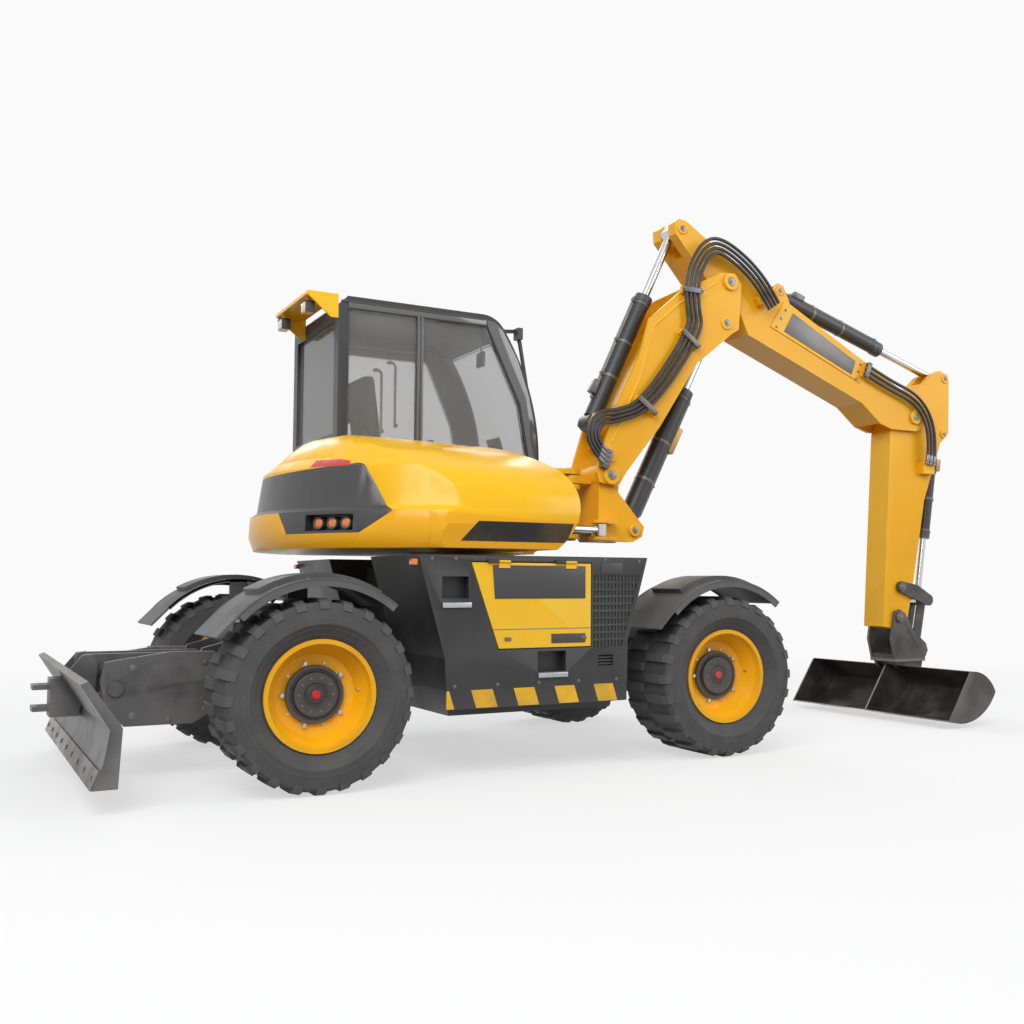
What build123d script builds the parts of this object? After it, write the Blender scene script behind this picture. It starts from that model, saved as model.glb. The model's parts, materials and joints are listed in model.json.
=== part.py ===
from build123d import *
from math import atan2, cos, degrees, hypot, radians, sin, tan
import os

# Wheeled excavator with offset cab, kingpost swing boom and rear dozer blade.
# Lengths in millimetres, X forward, Y to the left, Z up, ground at Z 0.
# Everything is laid out from the slew axis and moved by slew_x at the end,
# so that the origin lies on the ground under the middle of the overall box.
slew_x = -945.0

# Clearances between pieces
pin_fit = 0.3
slide_fit = 0.3
seat_gap = 0.3
side_gap = 6.0
door_gap = 6.0

# Wheels and axles
wheelbase = 2600.0
wheel_centre_y = 995.0
tyre_radius = 505.0
tyre_shoulder_radius = 486.0
tyre_side_bulge = 470.0
tyre_width = 500.0
tread_width = 448.0
tyre_facets = 48
tyre_pocket_radius = 374.0
lug_count = 24
lug_half_width = 26.0
bead_radius = 278.0
rim_flange_radius = 294.0
rim_width = 410.0
rim_wall = 12.0
hub_radius = 150.0
hub_inset = 140.0
hub_depth = 110.0
hub_boss = 118.0
spindle_radius = 55.0
axle_radius = 92.0
diff_radius = 190.0
kingpin_y = 800.0
kingpin_radius = 34.0
yoke_reach = 95.0
yoke_plate = 38.0
yoke_half_height = 142.0
knuckle_half = 70.0

# Mudguards, carried by the steered knuckles
guard_inner_radius = 596.0
guard_plate = 12.0
guard_inner_y = 702.0
guard_outer_y = 1250.0
guard_front_angle = 50.0
guard_rear_angle = 136.0
guard_flap = 150.0
guard_rib_height = 36.0
guard_rib_inset = 110.0
guard_post = 56.0

# Chassis
spine_half_width = 250.0
spine_bottom = 430.0
spine_top = 860.0
spine_front = wheelbase / 2 + 390.0
turret_half_length = 520.0
turret_half_width = 415.0
turret_top = 1190.0
ring_radius = 410.0
ring_top = 1268.0

# Side pods, right and left of the turret
pod_outer_y = 1200.0
pod_inner_y = turret_half_width
pod_wall = 12.0
pod_top_z = 1247.0
pod_bottom_z = 500.0
pod_belly_z = 350.0
pod_belly_y = 1090.0
engine_size = (760.0, 560.0, 560.0)
engine_place = (-60.0, -800.0)
skirt_bottom_z = 394.0
skirt_x = (-606.0, 552.0)

# Boxes let into the outer wall of each pod: X range, Z range, depth
pod_trays = {
    "left": (((-150.0, 330.0), (560.0, 750.0), 150.0), ((-150.0, 330.0), (850.0, 1040.0), 150.0)),
    "right": (((-640.0, -482.0), (1006.0, 1127.0), 70.0), ((-48.0, 135.0), (581.0, 700.0), 70.0),
              ((352.0, 457.0), (605.0, 668.0), 30.0)),
}
tread_bars = ((-640.0, -470.0, 956.0), (-48.0, 141.0, 551.0))
tread_bar_size = (14.0, 26.0)
grille = ((322.0, 1139.0), (640.0, 1139.0), (516.0, 716.0), (322.0, 716.0))
grille_depth = 8.0
grille_slats = 9
grille_slat_height = 14.0

# Engine cover panel in the right pod
cover_top_rear_x = -464.0
cover_top_front_x = 302.0
cover_bottom_rear_x = -293.0
cover_top_z = 1206.0
cover_bottom_z = 722.0

# Superstructure
deck_bottom = 1285.0
deck_plate = 30.0
tail_radius = 1370.0
body_half_width = 1220.0
body_front_x = 205.0
body_rear_split_x = -885.0
flank_z = 1420.0
lip_top = 1495.0
panel_top = 1800.0
body_crown = 2010.0

# Cab
cab_right_y = 20.0
cab_left_y = 1050.0
cab_rear_x = -865.0
cab_floor_z = 1345.0
cab_roof_z = 2935.0
cab_wall = 46.0
cab_mounts = ((-780.0, 120.0), (-780.0, 950.0), (350.0, 120.0), (350.0, 950.0))
cab_mount_radius = 45.0
glass = 8.0
canopy_reach = 203.0
canopy_left_y = 780.0
canopy_lamps_y = (115.0, 685.0)
seat_lean = 8.0
seat_back_size = (110.0, 430.0, 640.0)

# Arm group: every pin is (X, Z) in the boom's own plane
boom_y = -100.0
swing_axis_x = 770.0
nose_eye_radius = 68.0
nose_pin_radius = 38.0
boom_foot = (980.0, 1840.0)
elbow = (2020.0, 3350.0)
dipper_pivot = (3985.0, 2490.0)
bucket_pivot = (3795.0, 820.0)
lever_pivot = (3830.0, 1068.0)
lever_joint = (4140.0, 960.0)
hitch_pin = (4055.0, 560.0)
boom_half = 200.0
kingpost_half = 160.0
upper_boom_half = 150.0
dipper_half = 112.0
main_pin = 42.0
small_pin = 28.0

# Rams of the arm, one row each: foot pin, eye pin, head distance from the foot,
# barrel radius, rod radius, eye radius, half width of the rod's eye, retracting stroke
rams = {
    "lift": ((1195.0, 1465.0), (1985.0, 3035.0), 1190.0, 72.0, 36.0, 66.0, 60.0, 345.0),
    "tab": ((925.0, 2230.0), (1620.0, 3705.0), 1060.0, 62.0, 32.0, 60.0, 50.0, 425.0),
    "dipper": ((2585.0, 3385.0), (4390.0, 2865.0), 1180.0, 56.0, 30.0, 54.0, 46.0, 540.0),
    "bucket": ((4365.0, 2380.0), (4140.0, 960.0), 905.0, 48.0, 26.0, 48.0, 36.0, 320.0),
}
gland_step = 6.0
gland_length = 60.0
ram_foot_wall = 12.0
ram_end_room = 15.0
swing_ram_row = (540.0, 50.0, 28.0, 48.0, 40.0, 300.0)
blade_ram_row = (380.0, 44.0, 24.0, 42.0, 38.0, 45.0)
swing_ram_foot = (60.0, -470.0)
swing_ram_eye = (870.0, -335.0)
swing_ram_z = 1455.0
blade_ram_foot = (-wheelbase / 2 - 300.0, 600.0)
blade_ram_eye = (-wheelbase / 2 - 790.0, 385.0)

# Rear blade and its parallel linkage, pins (X, Z)
blade_y_half = 1250.0
blade_bottom_z = 126.0
blade_arm_root = (-wheelbase / 2 - 260.0, 509.0)
blade_arm_tip = (-wheelbase / 2 - 866.0, 509.0)
blade_link_rise = 139.0
blade_link_back = 125.0
blade_arm_half = 300.0
blade_arm_plate = 26.0

blade_link_root = (blade_arm_root[0] - blade_link_back, blade_arm_root[1] + blade_link_rise)
blade_link_tip = (blade_arm_tip[0] - blade_link_back, blade_arm_tip[1] + blade_link_rise)
blade_link_inner = 96.0
ear_plate = 24.0
cheek_inner = 205.0
cheek_outer = 245.0
spine_rear_wall = -wheelbase / 2 - 240.0
axle_arch = 205.0
lashing_y = 220.0
lashing_pin = (wheelbase / 2 + 535.0, 645.0)
lashing_bore = 26.0
tow_bore_x = -wheelbase / 2 - 1210.0
tow_half = 70.0
tow_bore = 21.0

# Hinges of the engine cover and of the cab door
cover_hinge_x = (-300.0, 130.0)
cover_hinge_radius = 8.0
door_hinge_x = -560.0
door_hinge_z = (1600.0, 2650.0)
door_hinge_radius = 12.0

# Deck, nose and boom plates
deck_radius = tail_radius - 80.0
deck_front_x = 440.0
deck_side_y = 1060.0
deck_right_front_x = 60.0
nose_rear_x = -260.0
nose_half = 72.0
nose_bay = 95.0
nose_eyes = ((1400.0, 1530.0), (1745.0, 1885.0))
lip_front_x = -700.0
tail_lamp_turn = 33.0
tail_lamp_floor = tail_radius - 80.0
tail_lamp_box = (170.0, 1382.0, 1474.0)
tail_lamps = (-98.0, 0.0, 98.0)
tail_lamp_radius = 34.0
tail_lamp_half = 14.0
panel_front_x = 496.0 - tail_radius
boom_plate = 26.0
lever_plate = 22.0
link_plate = 24.0
hitch_plate = 26.0
hitch_base_z = 478.0

# Bucket
bucket_near_y = -1000.0
bucket_far_y = 800.0
bucket_plate = 14.0

# Hoses held on the right of the booms: bundle lines as (X, Z) corners, plane, spacing and radius
boom_hose_line = ((1257.0, 2347.0), (1690.0, 2950.0), (1650.0, 3110.0), (1650.0, 3350.0), (1790.0, 3588.0),
                  (1960.0, 3600.0), (2290.0, 3395.0), (2412.0, 3210.0))
boom_hose_shifts = (54.0, 18.0, -18.0, -54.0)
boom_hose_loops = (190.0, 160.0, 130.0, 100.0)
boom_loop_centre = (950.0, 2110.0)
boom_loop_turns = (250.0, 205.0, 160.0, 115.0, 75.0)
boom_hose_y = -336.0
dipper_hose_line = ((3400.0, 2832.0), (3650.0, 2730.0), (3960.0, 2645.0), (4115.0, 2480.0), (4150.0, 2260.0),
                    (4128.0, 2112.0))
dipper_hose_shifts = (40.0, 0.0, -40.0)
dipper_hose_y = -290.0
hose_radius = 13.0
hose_bend_share = 0.46
hose_bend_most = 400.0

# Pads that carry the hoses: middle (X, Z), turn in degrees, size along and across
lower_boom_pads = ((1257.0, 2347.0, 54.0, 50.0, 190.0), (1632.0, 2868.0, 54.0, 50.0, 190.0),
                   (1650.0, 3230.0, 90.0, 50.0, 170.0), (930.0, 1985.0, 20.0, 110.0, 120.0))
upper_boom_pads = ((2350.0, 3290.0, -52.0, 60.0, 170.0),)
dipper_hose_pads = ((3415.0, 2826.0, -22.0, 60.0, 130.0),)
dipper_block = ((4062.0, 2020.0), (4192.0, 2112.0))
side_plate = ((2581.0, 3287.0), (3420.0, 2885.0), (3361.0, 2725.0), (2440.0, 3075.0))
side_plate_rise = 8.0


def prism_y(points, middle_y, half_width):
    """Straight-edged outline in X, Z, thickened equally to both sides of middle_y."""
    outline = Plane.XZ * make_face(Polyline(*points, close=True))
    return Pos(0, middle_y, 0) * extrude(outline, half_width, both=True)


def plates_y(points, middle_y, inner, outer):
    """Two equal plates cut to one outline, either side of middle_y."""
    half = (outer - inner) / 2
    away = (outer + inner) / 2
    return prism_y(points, middle_y + away, half) + prism_y(points, middle_y - away, half)


def block(low, high):
    """Box between two opposite corners."""
    size = [b - a for a, b in zip(low, high)]
    middle = [(a + b) / 2 for a, b in zip(low, high)]
    return Pos(*middle) * Box(*size)


def disc_y(pin, middle_y, radius, half_width):
    """Round boss or pin across the arm at an (X, Z) pin centre."""
    return Pos(pin[0], middle_y, pin[1]) * Rot(90, 0, 0) * Cylinder(radius, 2 * half_width)


def discs_y(pin, middle_y, radius, inner, outer):
    """A pair of bosses, one each side of middle_y."""
    half = (outer - inner) / 2
    away = (outer + inner) / 2
    return disc_y(pin, middle_y + away, radius, half) + disc_y(pin, middle_y - away, radius, half)


def disc_z(x, y, low, high, radius):
    """Upright pin or boss."""
    return Pos(x, y, (low + high) / 2) * Cylinder(radius, high - low)


def mirror_y(shape):
    return mirror(shape, Plane.XZ)


def ram_room(barrel_r):
    """Half width that a ram needs between its ears."""
    return barrel_r + gland_step + side_gap


def ram(length, head, barrel_r, rod_r, eye_r, rod_eye_half, retract):
    """Barrel and rod lying along +X from the foot pin, pins across along Y."""
    across = Rot(90, 0, 0)
    along = Rot(0, 90, 0)
    foot_half = ram_room(barrel_r) - side_gap
    bore_start = eye_r + ram_foot_wall
    tip = bore_start + retract + ram_end_room
    foot_boss = across * Cylinder(eye_r, 2 * foot_half)
    tube = Pos((eye_r * 0.7 + head) / 2, 0, 0) * along * Cylinder(barrel_r, head - eye_r * 0.7)
    gland = Pos(head - gland_length / 2, 0, 0) * along * Cylinder(barrel_r + gland_step, gland_length)
    bore = Pos((bore_start + head + 5) / 2, 0, 0) * along * Cylinder(rod_r + slide_fit, head + 5 - bore_start)
    pin_bore = across * Cylinder(small_pin + pin_fit, 3 * foot_half)
    barrel = foot_boss + tube + gland - bore - pin_bore
    stem = Pos((tip + length) / 2, 0, 0) * along * Cylinder(rod_r, length - tip)
    eye = Pos(length, 0, 0) * across * Cylinder(eye_r, 2 * rod_eye_half)
    return barrel, stem + eye


def ram_between(foot, eye, row):
    """Ram between two (X, Z) pins in the plane Y 0."""
    length = hypot(eye[0] - foot[0], eye[1] - foot[1])
    turn = degrees(atan2(eye[1] - foot[1], eye[0] - foot[0]))
    place = Pos(foot[0], 0, foot[1]) * Rot(0, -turn, 0)
    return [place * piece for piece in ram(length, *row)]


def arm_ram(name):
    foot, eye, *row = rams[name]
    return [Pos(0, boom_y, 0) * piece for piece in ram_between(foot, eye, row)]


def swing_ram():
    """Ram lying level beside the nose, pins upright."""
    laid = ram_between(swing_ram_foot, swing_ram_eye, swing_ram_row)
    return [Pos(0, 0, swing_ram_z) * Rot(-90, 0, 0) * piece for piece in laid]


def blade_ram():
    return ram_between(blade_ram_foot, blade_ram_eye, blade_ram_row)


def bar_y(a, b, radius, middle_y, inner, outer):
    """Pair of straight round-ended plates between two (X, Z) pins."""
    length = hypot(b[0] - a[0], b[1] - a[1])
    across = ((a[1] - b[1]) / length * radius, (b[0] - a[0]) / length * radius)
    outline = [(a[0] + across[0], a[1] + across[1]), (b[0] + across[0], b[1] + across[1]),
               (b[0] - across[0], b[1] - across[1]), (a[0] - across[0], a[1] - across[1])]
    ends = discs_y(a, middle_y, radius, inner, outer) + discs_y(b, middle_y, radius, inner, outer)
    return plates_y(outline, middle_y, inner, outer) + ends


def facet_face(radius, y):
    """Even-sided face across the wheel's axis, with a flat wherever a lug stands."""
    turns = [radians((i + 0.5) * 360 / tyre_facets) for i in range(tyre_facets)]
    return make_face(Polyline(*[(radius * cos(a), y, radius * sin(a)) for a in turns], close=True))


def tyre():
    """Tyre about the Y axis with two rows of lugs, one lug flat on the ground."""
    wall = tyre_width / 2
    tread = tread_width / 2
    seat = rim_width / 2 - rim_wall - seat_gap
    outside = [(380, -wall), (tyre_side_bulge, -wall + 8), (tyre_shoulder_radius, -tread),
               (tyre_shoulder_radius, tread), (tyre_side_bulge, wall - 8), (380, wall)]
    body = loft([facet_face(radius, y) for radius, y in outside], ruled=True)
    bore_corner = (bead_radius + seat_gap) / cos(radians(180 / tyre_facets))
    body -= loft([facet_face(bore_corner, -wall - 5), facet_face(bore_corner, wall + 5)], ruled=True)
    for way in (1, -1):
        mouth = [facet_face(rim_flange_radius + 4, seat * way),
                 facet_face(tyre_pocket_radius, (wall + 1) * way)]
        body -= loft(mouth, ruled=True)
    base = tyre_shoulder_radius - 2
    section = [(base, 14), (tyre_radius, 20), (tyre_radius, 200), (tyre_shoulder_radius + 2, 240),
               (tyre_side_bulge - 18, wall - 1), (tyre_side_bulge - 18, wall - 20)]
    lug = extrude(make_face(Polyline(*section, close=True)), lug_half_width, both=True)
    pitch = 360 / lug_count
    lugs = [Rot(0, i * pitch, 0) * lug for i in range(lug_count)]
    lugs += [Rot(0, (i + 0.5) * pitch, 0) * mirror_y(lug) for i in range(lug_count)]
    return body + lugs


def rim():
    """Rim with its dish and hub about the Y axis, outer face towards +Y."""
    half = rim_width / 2
    inner = bead_radius - rim_wall
    hub_face = half - hub_inset
    section = [
        (inner, -half), (rim_flange_radius, -half), (rim_flange_radius, -half + rim_wall),
        (bead_radius, -half + rim_wall), (bead_radius, half - rim_wall),
        (rim_flange_radius, half - rim_wall), (rim_flange_radius, half), (inner + 4, half),
        (inner - 6, half - 40), (hub_radius + 62, hub_face + 12), (hub_radius, hub_face + 2),
        (hub_radius, hub_face + 22), (hub_boss, hub_face + 26), (hub_boss - 8, hub_face + 44),
        (0, hub_face + 44),
        (0, hub_face - 16), (spindle_radius + pin_fit, hub_face - 16),
        (spindle_radius + pin_fit, hub_face - hub_depth), (hub_radius - 20, hub_face - hub_depth),
        (hub_radius - 20, hub_face - 20), (hub_radius + 52, hub_face - 14), (inner, half - 100),
    ]
    return revolve(make_face(Polyline(*section, close=True)), Axis.Y)


def knuckle(side):
    """Steering knuckle with spindle, top arm and mudguard, about the wheel centre."""
    pivot = (kingpin_y - wheel_centre_y) * side
    post = Pos(0, pivot, 0) * Cylinder(knuckle_half, 2 * (yoke_half_height - yoke_plate - 3))
    kingpin = Pos(0, pivot, 0) * Cylinder(kingpin_radius, 2 * (yoke_half_height + 20))
    cap_low = yoke_half_height + 4
    arm_low = cap_low
    arm_inner = guard_inner_y - wheel_centre_y
    arm_outer = kingpin_y + 50 - wheel_centre_y
    top_arm = block((-guard_post, min(arm_inner * side, arm_outer * side), arm_low),
                    (guard_post, max(arm_inner * side, arm_outer * side), arm_low + 30))
    inner_face = arm_inner * side
    outer_face = (guard_inner_y + 18 - wheel_centre_y) * side
    upright = block((-guard_post, min(inner_face, outer_face), arm_low),
                    (guard_post, max(inner_face, outer_face), guard_inner_radius + guard_plate / 2))
    hub_face = rim_width / 2 - hub_inset
    spindle_end = (hub_face - 20) * side
    spindle = Pos(0, (pivot + spindle_end) / 2, 0) * Rot(90, 0, 0) * Cylinder(spindle_radius,
                                                                              abs(spindle_end - pivot))
    body = post + kingpin + top_arm + upright + spindle
    return body + mudguard(side)


def guard_arc(radius, thickness, low_angle, high_angle):
    """Ring segment outline in X, Z about the wheel centre."""
    points = []
    for r, angles in ((radius, (low_angle, high_angle)), (radius + thickness, (high_angle, low_angle))):
        a, b = [radians(v) for v in angles]
        m = (a + b) / 2
        points.append([(r * cos(v), r * sin(v)) for v in (a, m, b)])
    inner, outer = points
    edges = [
        ThreePointArc(*inner), Line(inner[2], outer[0]),
        ThreePointArc(*outer), Line(outer[2], inner[0]),
    ]
    return make_face(Curve() + edges)


def mudguard(side):
    width = guard_outer_y - guard_inner_y
    middle = ((guard_outer_y + guard_inner_y) / 2 - wheel_centre_y) * side
    arch = Plane.XZ * guard_arc(guard_inner_radius, guard_plate, guard_front_angle, guard_rear_angle)
    shell = Pos(0, middle, 0) * extrude(arch, width / 2, both=True)
    crown = Plane.XZ * guard_arc(guard_inner_radius + guard_plate / 2, guard_rib_height,
                                 guard_front_angle + 8, guard_rear_angle - 16)
    rib = Pos(0, middle, 0) * extrude(crown, width / 2 - guard_rib_inset, both=True)
    end = radians(guard_rear_angle)
    a = (guard_inner_radius * cos(end), guard_inner_radius * sin(end))
    b = ((guard_inner_radius + guard_plate) * cos(end), (guard_inner_radius + guard_plate) * sin(end))
    run = (-sin(end) * guard_flap, cos(end) * guard_flap)
    flap_outline = [a, b, (b[0] + run[0], b[1] + run[1]), (a[0] + run[0], a[1] + run[1])]
    flap = prism_y(flap_outline, middle, width / 2)
    return shell + rib + flap


def diff_housing():
    """Round middle of the axle, turned about the axle's own line."""
    section = [(0, -diff_radius), (diff_radius * 0.55, -diff_radius * 0.9),
               (diff_radius, -diff_radius * 0.35),
               (diff_radius, diff_radius * 0.35), (diff_radius * 0.55, diff_radius * 0.9), (0, diff_radius)]
    return revolve(make_face(Polyline(*section, close=True)), Axis.Y)


def axle(x):
    tube = Rot(90, 0, 0) * Cylinder(axle_radius, 2 * (kingpin_y - yoke_reach - 10))
    housing = diff_housing()
    mount = block((-110, -200, 0), (110, 200, axle_arch))
    body = tube + housing + mount
    for side in (1, -1):
        yoke = block((-yoke_reach, kingpin_y - yoke_reach - 20, -yoke_half_height),
                     (yoke_reach, kingpin_y + 55, yoke_half_height))
        inside = block((-yoke_reach - 5, kingpin_y - yoke_reach + 12, -yoke_half_height + yoke_plate),
                       (yoke_reach + 5, kingpin_y + 60, yoke_half_height - yoke_plate))
        bore = Pos(0, kingpin_y, 0) * Cylinder(kingpin_radius + pin_fit, 3 * yoke_half_height)
        end = yoke - inside - bore
        body += end if side > 0 else mirror_y(end)
    return Pos(x, 0, tyre_radius) * body


def chassis_frame():
    """Box spine, turret under the slew ring and the blade's carrier at the rear."""
    spine = block((spine_rear_wall, -spine_half_width, spine_bottom),
                  (spine_front, spine_half_width, spine_top))
    turret = block((-turret_half_length, -turret_half_width, spine_bottom - 60),
                   (turret_half_length, turret_half_width, turret_top))
    frame = spine + turret
    for x in (-wheelbase / 2, wheelbase / 2):
        reach = axle_arch
        frame -= block((x - reach, -spine_half_width - 5, spine_bottom - 10),
                       (x + reach, spine_half_width + 5, tyre_radius + reach))
    cheek = [
        (spine_rear_wall + 5, 440), (blade_arm_root[0] - 20, 440), (blade_arm_root[0] - 90, 520),
        (blade_link_root[0] - 55, 640), (blade_link_root[0] - 20, 715), (spine_rear_wall + 5, 760),
    ]
    frame += plates_y(cheek, 0, cheek_inner, cheek_outer)
    frame += discs_y(blade_arm_root, 0, main_pin, cheek_outer - 1, blade_arm_half + 12)
    frame += discs_y(blade_link_root, 0, small_pin, blade_link_inner - 4, cheek_inner + 1)
    ear = [
        (spine_rear_wall + 5, 520), (blade_ram_foot[0] - 30, 550), (blade_ram_foot[0] - 45, 600),
        (blade_ram_foot[0] - 30, 645), (spine_rear_wall + 5, 680),
    ]
    inner = ram_room(blade_ram_row[1])
    frame += plates_y(ear, 0, inner, inner + ear_plate)
    frame += disc_y(blade_ram_foot, 0, small_pin, inner + ear_plate)
    x, z = lashing_pin
    lug = [(spine_front - 5, z - 90), (x + 50, z - 50), (x + 50, z + 50), (spine_front - 5, z + 100)]
    lugs = plates_y(lug, 0, lashing_y - 15, lashing_y + 15)
    bores = disc_y(lashing_pin, 0, lashing_bore, lashing_y + 30)
    return frame + (lugs - bores)


def pod(side):
    """Hollow side housing outside the turret; side is -1 on the right."""
    outer = [(-780, pod_top_z), (700, pod_top_z), (560, 750), (555, pod_bottom_z),
             (-610, pod_bottom_z), (-620, 680)]
    middle = (pod_outer_y + pod_inner_y) / 2
    half = (pod_outer_y - pod_inner_y) / 2
    shell = prism_y(outer, middle, half)
    belly = [(-570, pod_bottom_z + 1), (520, pod_bottom_z + 1), (500, pod_belly_z), (-550, pod_belly_z)]
    shell += prism_y(belly, (pod_inner_y + pod_belly_y) / 2, (pod_belly_y - pod_inner_y) / 2)
    inner = [(-740, pod_top_z - pod_wall), (668, pod_top_z - pod_wall), (540, 745),
             (535, pod_bottom_z + pod_wall),
             (-590, pod_bottom_z + pod_wall), (-600, 685)]
    shell -= prism_y(inner, middle, half - pod_wall)
    shell += block((skirt_x[0], pod_outer_y - pod_wall, skirt_bottom_z),
                   (skirt_x[1], pod_outer_y, pod_bottom_z + 1))
    for x, z, depth in pod_trays["left" if side > 0 else "right"]:
        space = block((x[0], pod_outer_y - depth, z[0]), (x[1], pod_outer_y + 5, z[1]))
        skin = block((x[0] - pod_wall, pod_outer_y - depth - pod_wall, z[0] - pod_wall),
                     (x[1] + pod_wall, pod_outer_y, z[1] + pod_wall))
        shell = shell + skin - space
    if side < 0:
        shell = right_pod_side(shell)
    return shell if side > 0 else mirror_y(shell)


def right_pod_side(shell):
    """Opening, hinges, grille and tread bars of the right pod, on the left-hand pattern."""
    opening = [
        (cover_top_rear_x - door_gap, cover_top_z + door_gap),
        (cover_top_front_x + door_gap, cover_top_z + door_gap),
        (cover_top_front_x + door_gap, cover_bottom_z - door_gap),
        (cover_bottom_rear_x - door_gap, cover_bottom_z - door_gap),
    ]
    shell -= prism_y(opening, pod_outer_y, 3 * pod_wall)
    for x in cover_hinge_x:
        shell += cover_hinge(x - 70, x - seat_gap)
        shell += block((x - 70, pod_outer_y - 5, cover_top_z + door_gap),
                       (x - seat_gap, pod_outer_y + cover_hinge_radius, cover_top_z + door_gap + 14))
    recess = prism_y(grille, pod_outer_y, grille_depth)
    shell -= recess
    low, high = grille[2][1], grille[0][1]
    pitch = (high - low) / (grille_slats + 1)
    for i in range(grille_slats):
        z = low + (i + 1) * pitch
        slat = block((grille[0][0] - 5, pod_outer_y - grille_depth - 1, z - grille_slat_height / 2),
                     (grille[1][0], pod_outer_y - 1, z + grille_slat_height / 2))
        shell += slat & prism_y(grille, pod_outer_y, 2 * grille_depth)
    reach, height = tread_bar_size
    for low_x, high_x, z in tread_bars:
        shell += block((low_x, pod_outer_y - 2, z), (high_x, pod_outer_y + reach, z + height))
    return shell


def engine_block():
    """One plain block standing on the floor of the right pod."""
    length, width, height = engine_size
    return Pos(*engine_place, pod_bottom_z + pod_wall + height / 2) * Box(length, width, height)


def cover_hinge(low_x, high_x):
    """Length of hinge barrel above the cover, on the left-hand pattern of the pod."""
    barrel = Rot(0, 90, 0) * Cylinder(cover_hinge_radius, high_x - low_x)
    middle_y = pod_outer_y + cover_hinge_radius + seat_gap
    return Pos((low_x + high_x) / 2, middle_y, cover_top_z + door_gap) * barrel


def engine_cover():
    panel = prism_y([(cover_top_rear_x, cover_top_z), (cover_top_front_x, cover_top_z),
                     (cover_top_front_x, cover_bottom_z), (cover_bottom_rear_x, cover_bottom_z)],
                    pod_outer_y - pod_wall / 2, pod_wall / 2)
    for x in cover_hinge_x:
        panel += cover_hinge(x, x + 70)
        panel += block((x, pod_outer_y - 5, cover_top_z - 30),
                       (x + 70, pod_outer_y + cover_hinge_radius, cover_top_z))
        panel += block((x, pod_outer_y + seat_gap, cover_top_z - 5),
                       (x + 70, pod_outer_y + cover_hinge_radius, cover_top_z + door_gap))
    return mirror_y(panel)


def tail_solid(low, high):
    """Slice of the superstructure's round tail with its leaning rear, Z low to high."""
    section = [
        (0, deck_bottom), (tail_radius - 30, deck_bottom), (tail_radius, deck_bottom + 85),
        (tail_radius - 8, lip_top), (tail_radius - 48, lip_top + 25), (tail_radius - 82, 1755),
        (tail_radius - 150, 1815), (tail_radius - 225, 1892), (tail_radius - 315, 1964),
        (tail_radius - 505, body_crown), (0, body_crown),
    ]
    turned = revolve(Plane.XZ * make_face(Polyline(*section, close=True)), Axis.Z)
    half = body_half_width
    cross = Plane.YZ * make_face(
        Line((-half + 35, deck_bottom), (-half, flank_z))
        + ThreePointArc((-half, flank_z), (-half + 45, 1640), (-half + 190, 1775))
        + ThreePointArc((-half + 190, 1775), (-half + 640, 1935), (-150, body_crown))
        + Line((-150, body_crown), (150, body_crown))
        + ThreePointArc((150, body_crown), (half - 640, 1935), (half - 190, 1775))
        + ThreePointArc((half - 190, 1775), (half - 45, 1640), (half, flank_z))
        + Line((half, flank_z), (half - 35, deck_bottom))
        + Line((half - 35, deck_bottom), (-half + 35, deck_bottom))
    )
    bar = extrude(cross, 2 * tail_radius, both=True)
    side = Plane.XZ * make_face(
        Line((-tail_radius, deck_bottom), (body_front_x - 120, deck_bottom))
        + ThreePointArc((body_front_x - 120, deck_bottom), (body_front_x + 20, 1560),
                        (body_front_x - 60, 1800))
        + ThreePointArc((body_front_x - 60, 1800), (body_front_x - 150, 1890), (body_front_x - 400, 1935))
        + Line((body_front_x - 400, 1935), (-817, body_crown - 2))
        + Line((-817, body_crown - 2), (-tail_radius, body_crown - 2))
        + Line((-tail_radius, body_crown - 2), (-tail_radius, deck_bottom))
    )
    length = extrude(side, 2 * body_half_width, both=True)
    return turned & bar & length & block((-2 * tail_radius, -2000, low), (2000, 2000, high))


def deck_plan(low, high):
    """Round-ended deck outline, cut short at the front on the right of the nose."""
    plan = disc_z(0, 0, low, high, deck_radius)
    plan &= block((-2 * deck_radius, -deck_side_y, low), (deck_front_x, deck_side_y, high))
    short = block((deck_right_front_x, -2 * deck_side_y, low), (2 * deck_front_x, boom_y - nose_bay, high))
    return plan - (short - disc_z(0, 0, low, high, ring_radius))


def upper_shells():
    """Counterweight lip, dark rear panel and the yellow body cover."""
    deck_top = deck_bottom + deck_plate
    whole = tail_solid(deck_bottom, body_crown)
    whole -= block((body_rear_split_x, cab_right_y - 8, deck_bottom - 5), (2000, 2000, 3000))
    whole -= deck_plan(deck_bottom - 5, deck_top)
    bay_low = deck_top
    whole -= block((nose_rear_x - 10, boom_y - nose_bay, bay_low), (2000, boom_y + nose_bay, 1893))
    whole -= block((-60, swing_ram_foot[1] - 90, bay_low), (2000, boom_y, 1560))
    foot = whole & block((-3000, -3000, deck_bottom), (lip_front_x, 3000, lip_top))
    rear = [(-3000, lip_top), (panel_front_x - 444, lip_top), (panel_front_x - 422, 1368),
            (panel_front_x - 146, 1369),
            (panel_front_x, 1490), (panel_front_x - 98, 1764), (panel_front_x - 212, 1818),
            (-3000, panel_top)]
    wrap = prism_y(rear, 0, 2000)
    panel = whole & wrap
    lip = foot - wrap
    cover = whole - foot - wrap
    half, low_z, high_z = tail_lamp_box
    for way in (1, -1):
        corner = Rot(0, 0, 180 + tail_lamp_turn * way)
        panel -= corner * block((tail_lamp_floor, -half, low_z), (2 * tail_radius, half, high_z))
        for across in tail_lamps:
            lamp = Rot(0, 90, 0) * Cylinder(tail_lamp_radius, 2 * tail_lamp_half)
            panel += corner * Pos(tail_lamp_floor + 10, across, (low_z + high_z) / 2) * lamp
    return lip, panel, cover


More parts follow.
